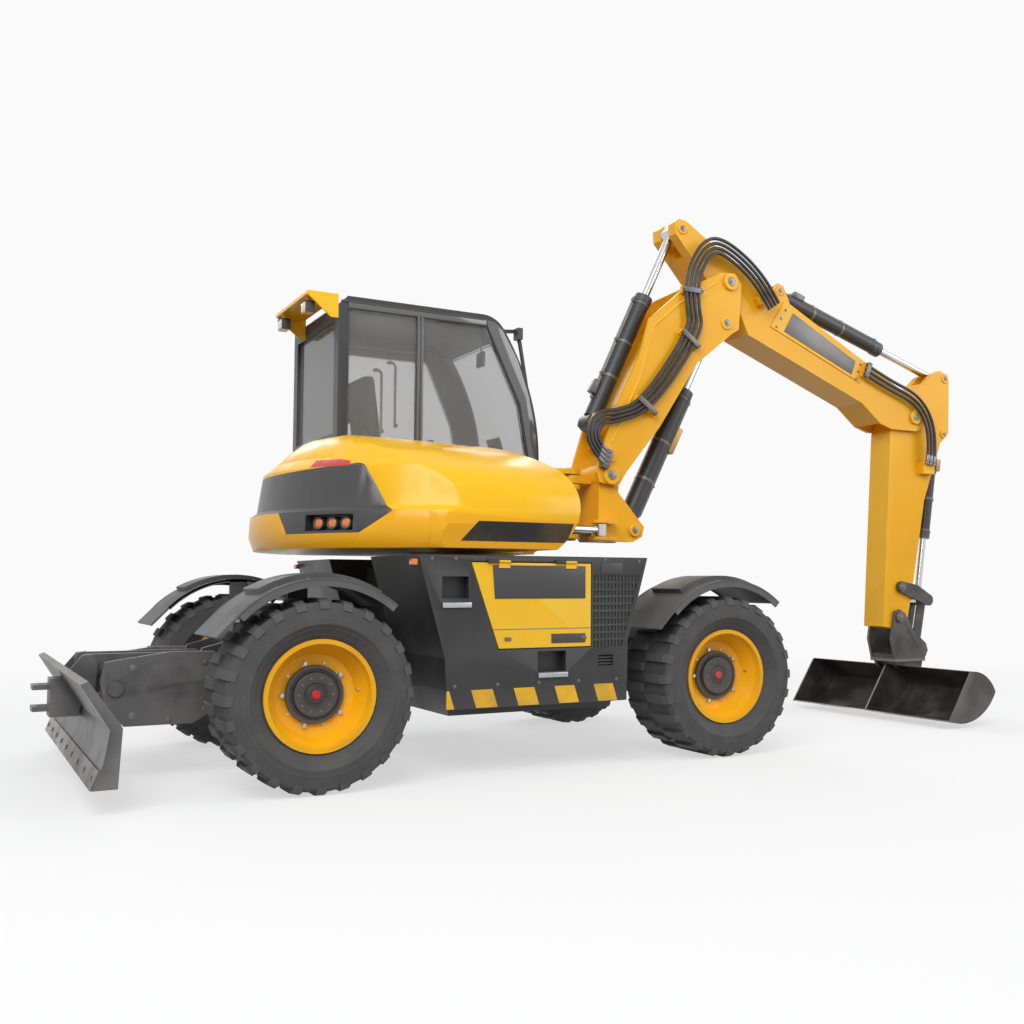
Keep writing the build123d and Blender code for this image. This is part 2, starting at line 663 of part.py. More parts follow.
def upper_frame():
    """Deck over the slew ring with the forked nose that carries the kingpost."""
    deck = deck_plan(deck_bottom, deck_bottom + deck_plate)
    for x, y in cab_mounts:
        bearer = block((x - cab_mount_radius, 0, deck_bottom),
                       (x + cab_mount_radius, y, deck_bottom + deck_plate))
        deck += bearer + disc_z(x, y, deck_bottom + 5, cab_floor_z - seat_gap, cab_mount_radius)
    spigot = disc_z(0, 0, ring_top + seat_gap, deck_bottom + 1, ring_radius - 60)
    web = prism_y([(nose_rear_x, deck_bottom + 5), (deck_front_x, deck_bottom + 5),
                   (swing_axis_x - 130, 1400),
                   (swing_axis_x - 130, 1530), (560, 1560), (560, 1715), (swing_axis_x - 130, 1745),
                   (swing_axis_x - 130, 1885), (nose_rear_x, 1830)], boom_y, nose_half)
    nose = web
    for low, high in nose_eyes:
        nose += block((swing_axis_x - 220, boom_y - nose_half, low), (swing_axis_x, boom_y + nose_half, high))
        nose += disc_z(swing_axis_x, boom_y, low, high, nose_eye_radius)
        nose -= disc_z(swing_axis_x, boom_y, low - 5, high + 5, nose_pin_radius + pin_fit)
        middle = (low + high) / 2
        nose -= block((swing_axis_x - 110, boom_y - 200, middle - 34),
                      (swing_axis_x + 200, boom_y + 200, middle + 34))
    room = ram_room(swing_ram_row[1])
    foot_ear = block((swing_ram_foot[0] - 60, swing_ram_foot[1] - 45, swing_ram_z - room - 20),
                     (swing_ram_foot[0] + 45, swing_ram_foot[1] + 45, swing_ram_z + room + 20))
    foot_ear -= block((swing_ram_foot[0] - 56, swing_ram_foot[1] - 60, swing_ram_z - room),
                      (swing_ram_foot[0] + 60, swing_ram_foot[1] + 60, swing_ram_z + room))
    post = block((swing_ram_foot[0] - 100, swing_ram_foot[1] - 45, deck_bottom + 5),
                 (swing_ram_foot[0] - 59, swing_ram_foot[1] + 45, swing_ram_z + room + 20))
    pin = disc_z(*swing_ram_foot, swing_ram_z - room - 10, swing_ram_z + room + 10, small_pin)
    return deck + spigot + nose + foot_ear + post + pin


def cab_outline(inset):
    """Side view of the cab in X, Z, drawn in by inset."""
    rear = cab_rear_x + inset
    low = cab_floor_z + inset
    roof = cab_roof_z - inset
    return make_face(
        Line((rear, low), (430 - inset, low))
        + Line((430 - inset, low), (580 - inset, 1905))
        + ThreePointArc((580 - inset, 1905), (515 - inset, 2400), (300 - inset, roof - 82))
        + ThreePointArc((300 - inset, roof - 82), (243 - inset, roof - 28), (150 - inset, roof))
        + Line((150 - inset, roof), (rear + 60, roof))
        + Line((rear + 60, roof), (rear, roof - 60))
        + Line((rear, roof - 60), (rear, low))
    )


def cab_slab(inset, low_y, high_y):
    face = Plane.XZ * cab_outline(inset)
    return Pos(0, (low_y + high_y) / 2, 0) * extrude(face, (high_y - low_y) / 2, both=True)


door_outline = [(-540, 1430), (-540, 2820), (170, 2820), (395, 2300), (462, 1905), (400, 1430)]
door_window = [(-480, 1900), (-480, 2760), (130, 2760), (335, 2290), (392, 1905)]
right_windows = [
    [(-800, 1980), (-800, 2850), (-330, 2850), (-330, 1980)],
    [(-290, 1960), (-290, 2850), (170, 2850), (420, 2330), (500, 1900)],
]


def grown(points, margin):
    """Outline pushed out by margin from its own middle, edge by edge."""
    face = make_face(Polyline(*points, close=True))
    return offset(face, margin, kind=Kind.INTERSECTION)


def wall_prism(points, margin, low_y, high_y):
    face = Plane.XZ * grown(points, margin)
    return Pos(0, (low_y + high_y) / 2, 0) * extrude(face, (high_y - low_y) / 2, both=True)


def roof_line(rise):
    """Height measured from the cab's roof."""
    return cab_roof_z + rise


def cab_shell():
    shell = cab_slab(0, cab_right_y, cab_left_y) - cab_slab(cab_wall, cab_right_y + cab_wall,
                                                            cab_left_y - cab_wall)
    for window in right_windows:
        shell -= wall_prism(window, 0, cab_right_y - 20, cab_right_y + cab_wall + 20)
    shell -= wall_prism(door_outline, door_gap, cab_left_y - cab_wall - 10, cab_left_y + 20)
    shell -= block((150, cab_right_y + cab_wall + 10, 1950), (800, cab_left_y - cab_wall - 10, 2790))
    shell -= block((cab_rear_x - 20, cab_right_y + cab_wall + 40, 2050),
                   (cab_rear_x + cab_wall + 20, cab_left_y - cab_wall - 40, 2780))
    arm_y = cab_right_y + 20
    arm = [(290, roof_line(-85)), (290, roof_line(-110)), (392, roof_line(-100)), (424, roof_line(-165)),
           (484, 2445),
           (502, 2452), (444, roof_line(-155)), (412, roof_line(-75))]
    shell += prism_y(arm, arm_y, 10)
    shell += block((392, arm_y - 60, roof_line(-150)), (430, arm_y + 12, roof_line(-70)))
    for z in door_hinge_z:
        shell += door_hinge(z - 60, z - seat_gap)
        shell += block((door_hinge_x - 40, cab_left_y - 5, z - 60),
                       (door_hinge_x, cab_left_y + door_hinge_radius, z - seat_gap))
    return shell


def door_hinge(low, high):
    """Upright hinge barrel standing just off the left wall."""
    return disc_z(door_hinge_x, cab_left_y + door_hinge_radius + seat_gap, low, high, door_hinge_radius)


def cab_glass():
    panes = []
    middle = cab_right_y + cab_wall / 2
    for window in right_windows:
        panes.append(wall_prism(window, -seat_gap, middle - glass / 2, middle + glass / 2))
    layer = cab_slab(cab_wall / 2, cab_right_y, cab_left_y) - cab_slab(cab_wall / 2 + glass, cab_right_y - 5,
                                                                       cab_left_y + 5)
    gap = 10 + seat_gap
    front = block((300, cab_right_y + cab_wall + gap, 1950 + seat_gap),
                  (800, cab_left_y - cab_wall - gap, 2790 - seat_gap))
    panes.append(layer & front)
    gap = 40 + seat_gap
    rear = block((cab_rear_x - 5, cab_right_y + cab_wall + gap, 2050 + seat_gap),
                 (cab_rear_x + cab_wall, cab_left_y - cab_wall - gap, 2780 - seat_gap))
    panes.append(layer & rear)
    glazing = panes[0]
    for pane in panes[1:]:
        glazing += pane
    return glazing


def door_frame():
    frame = wall_prism(door_outline, 0, cab_left_y - cab_wall, cab_left_y)
    frame -= wall_prism(door_window, 0, cab_left_y - cab_wall - 10, cab_left_y + 10)
    for z in door_hinge_z:
        frame += door_hinge(z, z + 60)
        frame += block((door_hinge_x, cab_left_y + seat_gap, z),
                       (door_hinge_x + 70, cab_left_y + door_hinge_radius, z + 60))
        frame += block((door_hinge_x + 30, cab_left_y - 5, z),
                       (door_hinge_x + 70, cab_left_y + door_hinge_radius, z + 60))
    return frame


def door_glass():
    middle = cab_left_y - cab_wall / 2
    return wall_prism(door_window, -seat_gap, middle - glass / 2, middle + glass / 2)


def rear_canopy():
    """Yellow visor over the back of the cab, open underneath, with two work lamps."""
    tip = cab_rear_x - canopy_reach
    top = roof_line(5)
    outline = [(cab_rear_x, top), (tip, top), (tip - 4, top - 28), (tip + 14, top - 28),
               (cab_rear_x, top - 22)]
    middle = (canopy_left_y + cab_right_y) / 2
    half = (canopy_left_y - cab_right_y) / 2
    roof = prism_y(outline, middle, half)
    cheek = [(cab_rear_x, top), (tip, top), (tip, top - 26), (cab_rear_x - 48, top - 156),
             (cab_rear_x, top - 156)]
    roof += plates_y(cheek, middle, half - 16, half)
    for y in canopy_lamps_y:
        roof += block((tip + 2, y - 45, top - 130), (tip + 58, y + 45, top - 56))
        roof += block((tip + 20, y - 12, top - 57), (tip + 44, y + 12, top - 22))
    return roof


def seat_back_middle():
    """Centre of the backrest pad."""
    floor = cab_floor_z + cab_wall
    return -515, (cab_left_y + cab_right_y) / 2, floor + 805 + seat_gap


def seat_base():
    middle = (cab_left_y + cab_right_y) / 2
    floor = cab_floor_z + cab_wall
    body = block((-560, middle - 190, floor), (-120, middle + 190, floor + 130))
    body += block((-480, middle - 140, floor + 129), (-200, middle + 140, floor + 330))
    body += block((-590, middle - 240, floor + 329), (-60, middle + 240, floor + 360))
    body += block((-640, middle - 150, floor + 335), (-561, middle + 150, floor + 640))
    backing = Rot(0, -seat_lean, 0) * Pos(-seat_back_size[0] / 2 - seat_gap - 15, 0, -190) * Box(30, 300, 240)
    body += Pos(*seat_back_middle()) * backing
    for side in (1, -1):
        body += block((-480, middle + side * 270 - 45, floor + 470),
                      (-90, middle + side * 270 + 45, floor + 520))
        body += block((-500, middle + side * 232 - 12, floor + 340),
                      (-420, middle + side * 232 + 12, floor + 519))
        body += disc_z(-130, middle + side * 270, floor + 519, floor + 680, 20)
    return body


def seat_cushion():
    middle = (cab_left_y + cab_right_y) / 2
    floor = cab_floor_z + cab_wall
    return chamfer(block((-560, middle - 215, floor + 360 + seat_gap),
                         (-70, middle + 215, floor + 470)).edges(), 24)


def seat_back():
    pad = chamfer(Box(*seat_back_size).edges(), 24)
    return Pos(*seat_back_middle()) * Rot(0, -seat_lean, 0) * pad


def console():
    """Steering column and front dash."""
    middle = (cab_left_y + cab_right_y) / 2
    floor = cab_floor_z + cab_wall
    foot = block((200, middle - 120, floor), (330, middle + 120, floor + 60))
    column = Pos(265, middle, floor + 55) * Rot(0, -20, 0) * Pos(0, 0, 300) * Box(90, 110, 600)
    hub = Pos(265, middle, floor + 55) * Rot(0, -20, 0) * Pos(0, 0, 620)
    wheel_ring = hub * (Cylinder(188, 24) - Cylinder(164, 30))
    spokes = hub * Box(340, 30, 16) + hub * Cylinder(34, 40)
    return foot + column + wheel_ring + spokes


def hose_pad(row, inner_y, outer_y):
    """Turned rectangular pad on the right of a boom, under its hoses."""
    x, z, turn, along, across = row
    pad = Box(along, inner_y - outer_y, across)
    return Pos(x, (inner_y + outer_y) / 2, z) * Rot(0, -turn, 0) * pad


def beside(points, shift):
    """Corners of a line moved sideways by shift, to the left of its run."""
    runs = []
    for a, b in zip(points, points[1:]):
        length = hypot(b[0] - a[0], b[1] - a[1])
        runs.append(((b[0] - a[0]) / length, (b[1] - a[1]) / length))
    moved = []
    for i, (x, z) in enumerate(points):
        before = runs[max(i - 1, 0)]
        after = runs[min(i, len(runs) - 1)]
        away = (-before[1] - after[1], before[0] + after[0])
        scale = shift * 2 / (away[0] ** 2 + away[1] ** 2)
        moved.append((x + away[0] * scale, z + away[1] * scale))
    return moved


def easy_bends(corners):
    """Radius at each inner corner, as large as its shorter run leaves room for."""
    radii = []
    for a, b, c in zip(corners, corners[1:], corners[2:]):
        shorter = min(hypot(b[0] - a[0], b[1] - a[1]), hypot(c[0] - b[0], c[1] - b[1]))
        before = atan2(b[1] - a[1], b[0] - a[0])
        after = atan2(c[1] - b[1], c[0] - b[0])
        turn = abs(atan2(sin(after - before), cos(after - before)))
        radii.append(min(hose_bend_share * shorter / tan(turn / 2), hose_bend_most))
    return radii


def hose(corners, y):
    """Round hose along rounded corners in a plane beside the boom."""
    route = Pos(0, y, 0) * (Plane.XZ * FilletPolyline(*corners, radius=easy_bends(corners)))
    return sweep(Plane(route ^ 0) * Circle(hose_radius), path=route)


def boom_hoses():
    """Four hoses that loop out at the boom's foot and run over its elbow."""
    hoses = []
    for shift, loop in zip(boom_hose_shifts, boom_hose_loops):
        curl = []
        for turn in boom_loop_turns:
            a = radians(turn)
            curl.append((boom_loop_centre[0] + loop * cos(a), boom_loop_centre[1] + loop * sin(a)))
        hoses.append(hose(curl + beside(boom_hose_line, shift), boom_hose_y))
    return Compound(children=hoses)


def dipper_hoses():
    """Three hoses from the upper boom over its end to the block on the dipper."""
    return Compound(children=[hose(beside(dipper_hose_line, shift),
                                   dipper_hose_y) for shift in dipper_hose_shifts])


def kingpost():
    outline = [(905, 1560), (905, 1860), (940, 1925), (1040, 1925), (1075, 1840), (1063, 1731),
               (1280, 1490), (1262, 1420), (1188, 1383), (934, 1384), (905, 1420)]
    body = prism_y(outline, boom_y, kingpost_half)
    body += disc_y(boom_foot, boom_y, 95, kingpost_half)
    foot = rams["lift"][0]
    inner = ram_room(rams["lift"][3])
    slot = block((foot[0] - 150, boom_y - inner, 1370), (foot[0] + 200, boom_y + inner, 2000))
    body -= slot
    body += disc_y(foot, boom_y, small_pin, kingpost_half + 10)
    body += disc_y(boom_foot, boom_y, main_pin, boom_half + 10)
    for low, high in nose_eyes:
        middle = (low + high) / 2
        body += block((swing_axis_x, boom_y - nose_eye_radius, middle - 28),
                      (906, boom_y + nose_eye_radius, middle + 28))
        body += disc_z(swing_axis_x, boom_y, middle - 28, middle + 28, nose_eye_radius)
        body += disc_z(swing_axis_x, boom_y, low - 12, high + 12, nose_pin_radius)
    half = swing_ram_row[4] + side_gap
    x, y = swing_ram_eye
    for low in (swing_ram_z - half - 22, swing_ram_z + half):
        body += block((x - 40, y - 10, low), (x + 140, boom_y - kingpost_half + 5, low + 22))
        body += disc_z(x, y, low, low + 22, 52)
    return body


def lower_boom():
    side_plate = [
        (890, 1790), (865, 1860), (988, 2257), (1219, 2712), (1303, 2989), (1573, 3222), (1935, 3410),
        (2066, 3425), (2127, 3345), (2100, 3000), (2036, 2960), (1714, 2701), (1389, 2212), (1104, 1865),
        (1040, 1765),
    ]
    plates = plates_y(side_plate, boom_y, boom_half - boom_plate, boom_half)
    core = [(1010, 2060), (1120, 2380), (1290, 2700), (1420, 2920), (1600, 3060), (1715, 2920),
            (1640, 2760), (1320, 2275), (1120, 2030)]
    body = plates + prism_y(core, boom_y, boom_half - 1)
    body -= disc_y(boom_foot, boom_y, main_pin + pin_fit, boom_half + 5)
    foot = rams["tab"][0]
    ear = [(foot[0] - 55, foot[1] - 10), (foot[0] - 20, foot[1] + 55), (foot[0] + 60, foot[1] + 60),
           (1130, 2330), (1030, 2080), (foot[0] + 10, foot[1] - 70)]
    inner = ram_room(rams["tab"][3])
    body += plates_y(ear, boom_y, inner, inner + ear_plate)
    body += disc_y(foot, boom_y, small_pin, inner + ear_plate)
    body += disc_y(elbow, boom_y, main_pin, boom_half + 12)
    eye = rams["lift"][1]
    body += discs_y(eye, boom_y, 70, rams["lift"][6] + side_gap, boom_half)
    for row in lower_boom_pads:
        body += hose_pad(row, boom_y - boom_half + 1, boom_hose_y + hose_radius + seat_gap)
    return body


def upper_boom():
    ear = rams["tab"][1]
    tip = dipper_pivot
    outline = [
        (1555, 3745), (1590, 3775), (1660, 3765), (1834, 3665), (2591, 3300), (3440, 2895), (4029, 2615),
        (4100, 2540), (4090, 2430), (4010, 2375), (3724, 2373), (3589, 2413), (3392, 2562), (2230, 2985),
        (2130, 3180), (2050, 3215), (1900, 3290), (1560, 3660),
    ]
    body = prism_y(outline, boom_y, upper_boom_half)
    inner = rams["tab"][6] + side_gap
    body -= block((1400, boom_y - inner, 3530), (1790, boom_y + inner, 3900))
    body -= disc_y(elbow, boom_y, main_pin + pin_fit, boom_half)
    fork = upper_boom_half - 28
    body -= disc_y(tip, boom_y, 400, fork)
    body += disc_y(tip, boom_y, main_pin - 4, upper_boom_half + 12)
    body -= disc_y(rams["lift"][1], boom_y, 165, boom_half)
    foot = rams["dipper"][0]
    lug = [(foot[0] - 60, foot[1] + 10), (foot[0] - 20, foot[1] + 60), (foot[0] + 40, foot[1] + 45),
           (foot[0] + 150, 3200), (foot[0] - 120, 3290)]
    inner = ram_room(rams["dipper"][3])
    body += plates_y(lug, boom_y, inner, inner + ear_plate)
    body += disc_y(foot, boom_y, small_pin, inner + ear_plate)
    body += plates_y(side_plate, boom_y, upper_boom_half - 1, upper_boom_half + side_plate_rise)
    side = boom_y - upper_boom_half + 1
    for row in upper_boom_pads:
        body += hose_pad(row, side, boom_hose_y + hose_radius + 2 * side_gap)
    for row in dipper_hose_pads:
        body += hose_pad(row, side, dipper_hose_y + hose_radius + seat_gap)
    return body


def dipper():
    outline = [
        (3639, 745), (3690, 1537), (3743, 2353), (3870, 2590), (4038, 2700), (4244, 2885), (4330, 2925),
        (4430, 2900),
        (4445, 2840), (4430, 2390), (4330, 2300), (4129, 1803), (3990, 1120), (3905, 760), (3780, 720),
    ]
    body = prism_y(outline, boom_y, dipper_half)
    body += disc_y(dipper_pivot, boom_y, 120, dipper_half + 4)
    body -= disc_y(dipper_pivot, boom_y, main_pin - 4 + pin_fit, boom_half)
    body -= disc_y(bucket_pivot, boom_y, small_pin + 4 + pin_fit, boom_half)
    top_eye = rams["dipper"][1]
    body -= disc_y(top_eye, boom_y, 245, rams["dipper"][6] + side_gap)
    foot = rams["bucket"][0]
    inner = ram_room(rams["bucket"][3])
    body -= block((foot[0] - 90, boom_y - inner, foot[1] - 400),
                  (foot[0] + 200, boom_y + inner, foot[1] + 75))
    body += disc_y(foot, boom_y, small_pin, dipper_half + 6)
    body += disc_y(lever_pivot, boom_y, small_pin, dipper_half + side_gap + 26)
    low, high = dipper_block
    outer = dipper_hose_y + hose_radius + side_gap
    return body + block((low[0], outer, low[1]), (high[0], boom_y - dipper_half + 1, high[1]))


def lever():
    """Curved tipping lever: two plates outside the dipper with stub pins at the joint."""
    inner = dipper_half + side_gap
    outline = [(lever_pivot[0], lever_pivot[1] + 46), (lever_pivot[0], lever_pivot[1] - 46),
               (lever_joint[0] - 20, lever_joint[1] - 44), (lever_joint[0] + 10, lever_joint[1] + 47),
               (4010, 1085)]
    body = plates_y(outline, boom_y, inner, inner + lever_plate)
    body += discs_y(lever_pivot, boom_y, 48, inner, inner + lever_plate)
    body += discs_y(lever_joint, boom_y, 48, inner, inner + lever_plate)
    body -= disc_y(lever_pivot, boom_y, small_pin + pin_fit, 400)
    return body + discs_y(lever_joint, boom_y, small_pin, rams["bucket"][6] + 2, inner + 2)


def tip_link():
    """Link from the lever's joint to the hitch, two plates joined by their lower pin."""
    inner = rams["bucket"][6] + side_gap
    body = bar_y(lever_joint, hitch_pin, 42, boom_y, inner, inner + link_plate)
    body -= disc_y(lever_joint, boom_y, small_pin + pin_fit, 400)
    return body + disc_y(hitch_pin, boom_y, small_pin, inner + link_plate)


def link_room():
    """Space round the link's lower pin, through the hitch's base and the top of the bucket."""
    half = rams["bucket"][6] + side_gap + link_plate + side_gap
    return block((hitch_pin[0] - 105, boom_y - half, hitch_pin[1] - 150),
                 (hitch_pin[0] + 100, boom_y + half, hitch_pin[1] + 60))


def quick_hitch():
    inner = dipper_half + side_gap
    cheek = [(3740, 480), (3700, 640), (3745, 870), (3800, 885), (3860, 850), (3960, 700), (4095, 600),
             (4115, 540),
             (4080, 480)]
    body = plates_y(cheek, boom_y, inner, inner + hitch_plate)
    body += block((3740, boom_y - inner - hitch_plate, hitch_base_z),
                  (4080, boom_y + inner + hitch_plate, hitch_base_z + 36))
    body -= link_room()
    body += disc_y(bucket_pivot, boom_y, small_pin + 4, inner + hitch_plate + 10)
    body += discs_y(hitch_pin, boom_y, small_pin + 12, rams["bucket"][6] + 2 * side_gap + link_plate,
                    inner + 2)
    return body


def bucket_section(inset):
    """Half-round back of the bucket in X, Z, closed across its mouth."""
    i = inset
    return make_face(
        Line((3770, 425), (3530, 56 + i * 0.6))
        + Line((3530, 56 + i * 0.6), (3640, 39 + i))
        + ThreePointArc((3640, 39 + i), (3930 - i * 0.5, 128 + i), (4040 - i, 262))
        + ThreePointArc((4040 - i, 262), (3985 - i, 345 - i), (3770, 425))
    )


def bucket():
    middle = (bucket_near_y + bucket_far_y) / 2
    half = (bucket_far_y - bucket_near_y) / 2
    outside = Pos(0, middle, 0) * extrude(Plane.XZ * bucket_section(0), half, both=True)
    inside = Pos(0, middle, 0) * extrude(Plane.XZ * bucket_section(bucket_plate), half - bucket_plate,
                                         both=True)
    body = outside - inside
    rib = Pos(0, boom_y, 0) * extrude(Plane.XZ * bucket_section(1), 8, both=True)
    shell = body + rib
    spread = dipper_half + side_gap + hitch_plate
    saddle = [(3740, hitch_base_z), (4080, hitch_base_z), (4060, 400), (4025, 262), (3990, 330), (3860, 385),
              (3780, 408)]
    top = block((3740, boom_y - spread, hitch_base_z - 24),
                (4080, boom_y + spread, hitch_base_z)) - link_room()
    return shell + plates_y(saddle, boom_y, 90, 120) + top


def blade_arm():
    """Fabricated arm of the blade: two side plates, a belly plate and top flanges."""
    back = blade_arm_root[0]
    side = [(back + 55, 455), (back + 55, 580), (back - 90, 700), (back - 320, 705), (back - 665, 655),
            (back - 685, 545), (back - 665, 430), (back - 560, 300), (back - 200, 300)]
    half = blade_arm_half
    body = plates_y(side, 0, half - blade_arm_plate, half)
    body += block((back - 555, -half + 5, 300), (back - 210, half - 5, 326))
    body -= disc_y(blade_arm_root, 0, main_pin + pin_fit, half + 20)
    body -= disc_y(blade_arm_tip, 0, main_pin + pin_fit, half + 20)
    inner = blade_ram_row[4] + side_gap
    eye = blade_ram_eye
    ear = [(eye[0] + 90, 320), (eye[0] + 45, eye[1] + 30), (eye[0], eye[1] + 52), (eye[0] - 45, eye[1] + 30),
           (eye[0] - 60, 320)]
    return body + plates_y(ear, 0, inner, inner + ear_plate)


def blade_link():
    a = blade_link_root
    b = blade_link_tip
    body = bar_y(a, b, 44, 0, blade_link_inner, blade_link_inner + 40)
    body += block((b[0] + 281, -blade_link_inner - 2, a[1] - 12),
                  (b[0] + 331, blade_link_inner + 2, a[1] + 20))
    body -= disc_y(a, 0, small_pin + pin_fit, 300)
    body -= disc_y(b, 0, small_pin + pin_fit, 300)
    return body


def blade():
    """Folded mouldboard with its ears and the tow jaw behind it."""
    tip = blade_arm_tip
    back = tip[0]
    section = [(back - 273, 617), (back - 239, 632), (back - 96, 430), (back - 84, 405),
               (back - 99, blade_bottom_z),
               (back - 213, blade_bottom_z), (back - 164, 250), (back - 139, 400)]
    body = prism_y(section, 0, blade_y_half)
    ear = [(back - 109, 330), (back + 30, tip[1] - 45), (back + 58, tip[1]), (back + 30, tip[1] + 50),
           (back - 104, 470)]
    outer = blade_arm_half - blade_arm_plate - side_gap
    body += plates_y(ear, 0, outer - 36, outer)
    body += discs_y(tip, 0, main_pin, outer - 1, blade_arm_half + 12)
    top = blade_link_tip
    horn = [(back - 96, 400), (top[0] + 50, top[1]), (top[0] + 20, top[1] + 46), (top[0] - 30, top[1] + 40),
            (back - 234, 590), (back - 134, 420)]
    low = blade_link_inner + 40 + side_gap
    body += plates_y(horn, 0, low, low + 26)
    body += discs_y(top, 0, small_pin, blade_link_inner - 4, low + 1)
    jaw = block((back - 304, -tow_half - 20, 350), (back - 154, tow_half + 20, 560))
    for z in (382, 500):
        jaw += block((tow_bore_x - 45, -tow_half, z), (back - 303, tow_half, z + 28))
    jaw -= disc_z(tow_bore_x, 0, 300, 600, tow_bore)
    return body + jaw


def at_wheel(shape, x, side):
    return Pos(x, wheel_centre_y * side, tyre_radius) * shape


def build():
    """Every piece by its node name, about the slew axis."""
    parts = {
        "chassis_frame": chassis_frame(),
        "axle_front": axle(wheelbase / 2),
        "axle_rear": axle(-wheelbase / 2),
        "slew_ring": disc_z(0, 0, turret_top, ring_top, ring_radius),
        "pod_right": pod(-1),
        "pod_left": pod(1),
        "engine_block": engine_block(),
        "engine_cover": engine_cover(),
    }
    wheel_rim = rim()
    wheel_tyre = tyre()
    for end, x in (("front", wheelbase / 2), ("rear", -wheelbase / 2)):
        for hand, side in (("left", 1), ("right", -1)):
            parts[f"knuckle_{end}_{hand}"] = at_wheel(knuckle(side), x, side)
            parts[f"rim_{end}_{hand}"] = at_wheel(wheel_rim if side > 0 else mirror_y(wheel_rim), x, side)
            parts[f"tyre_{end}_{hand}"] = at_wheel(wheel_tyre if side > 0 else mirror_y(wheel_tyre), x, side)
    parts["upper_frame"] = upper_frame()
    parts["counterweight"], parts["rear_panel"], parts["body_cover"] = upper_shells()
    parts["cab_shell"] = cab_shell()
    parts["cab_glass"] = cab_glass()
    parts["rear_canopy"] = rear_canopy()
    parts["seat_base"] = seat_base()
    parts["seat_cushion"] = seat_cushion()
    parts["seat_back"] = seat_back()
    parts["console"] = console()
    parts["door_frame"] = door_frame()
    parts["door_glass"] = door_glass()
    parts["kingpost"] = kingpost()
    parts["lower_boom"] = lower_boom()
    parts["boom_hoses"] = boom_hoses()
    parts["upper_boom"] = upper_boom()
    parts["dipper_hoses"] = dipper_hoses()
    parts["dipper"] = dipper()
    parts["quick_hitch"] = quick_hitch()
    parts["bucket"] = bucket()
    parts["lever"] = lever()
    parts["link"] = tip_link()
    for name in rams:
        parts[f"{name}_barrel"], parts[f"{name}_rod"] = arm_ram(name)
    parts["swing_barrel"], parts["swing_rod"] = swing_ram()
    parts["blade_arm"] = blade_arm()
    parts["blade_link"] = blade_link()
    parts["blade"] = blade()
    parts["blade_barrel"], parts["blade_rod"] = blade_ram()
    return parts


if __name__ == "__main__":
    os.makedirs("parts", exist_ok=True)
    for node, shape in build().items():
        export_step(Pos(slew_x, 0, 0) * shape, f"parts/{node}.step")
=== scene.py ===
import json
from math import atan2, cos, hypot, pi, radians, sin

import bmesh
import bpy
from mathutils import Matrix, Vector


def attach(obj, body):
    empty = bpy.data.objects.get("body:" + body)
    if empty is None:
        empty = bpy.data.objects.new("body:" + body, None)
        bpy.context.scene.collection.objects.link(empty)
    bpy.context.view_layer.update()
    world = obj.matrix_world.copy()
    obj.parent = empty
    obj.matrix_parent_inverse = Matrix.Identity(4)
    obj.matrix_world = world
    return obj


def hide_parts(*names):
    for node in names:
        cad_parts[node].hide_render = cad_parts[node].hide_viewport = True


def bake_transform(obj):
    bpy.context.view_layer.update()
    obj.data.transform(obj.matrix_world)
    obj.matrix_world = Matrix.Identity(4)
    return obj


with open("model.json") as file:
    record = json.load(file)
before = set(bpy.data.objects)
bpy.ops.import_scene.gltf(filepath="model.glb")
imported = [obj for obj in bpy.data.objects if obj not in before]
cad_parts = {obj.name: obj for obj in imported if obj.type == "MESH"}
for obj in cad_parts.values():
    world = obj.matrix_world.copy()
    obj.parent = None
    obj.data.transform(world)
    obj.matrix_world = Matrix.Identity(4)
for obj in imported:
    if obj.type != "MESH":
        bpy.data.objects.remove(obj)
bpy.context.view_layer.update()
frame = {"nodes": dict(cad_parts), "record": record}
nodes = frame["nodes"]

# Shapes are built in millimetres about the slew axis; TO_ROW takes them to metres in the row frame
SLEW_X = -0.945
TO_ROW = Matrix.Translation((SLEW_X, 0.0, 0.0)) @ Matrix.Scale(0.001, 4)
WHEEL_Z = 505.0
WHEELS = (("front_left", 1300.0, 1), ("front_right", 1300.0, -1), ("rear_left", -1300.0, 1),
          ("rear_right", -1300.0, -1))
KNUCKLES = tuple(f"knuckle_{name}" for name, x, side in WHEELS)


# Camera and room, in metres; the camera was fitted to the photo

CAMERA_PLACE = (-3.0157 + SLEW_X, -6.9400, 1.0911)
CAMERA_YAW, CAMERA_PITCH, CAMERA_ROLL = 1.03192, 0.0557438, 0.0029328
CAMERA_LENS = 39.325
CAMERA_SHIFT = (-0.0934, 0.0087)
BACKDROP = (0.955, 0.955, 0.955)
DAYLIGHT = (0.95, 0.97, 1.0)
DAYLIGHT_POWER = 0.50
FLOOR_COLOUR = (0.33, 0.33, 0.33)
FLOOR_LIFT = 0.62
FLOOR_FADE = (3.5, 9.0)
FLOOR_REACH = 70.0
LAMPS = (
    # name, place, target, size, power
    ("key_lamp", (-6.5, -7.5, 8.0), (0.0, 0.0, 1.2), (7.0, 7.0), 860.0),
    ("fill_lamp", (7.5, -6.0, 5.5), (0.5, 0.0, 1.4), (6.0, 5.0), 300.0),
    ("back_lamp", (1.0, 8.0, 7.0), (0.0, 0.0, 1.6), (7.0, 4.0), 300.0),
)


def add_object(name, data):
    """New object of the scene that shows some data."""
    made = bpy.data.objects.new(name, data)
    bpy.context.scene.collection.objects.link(made)
    return made


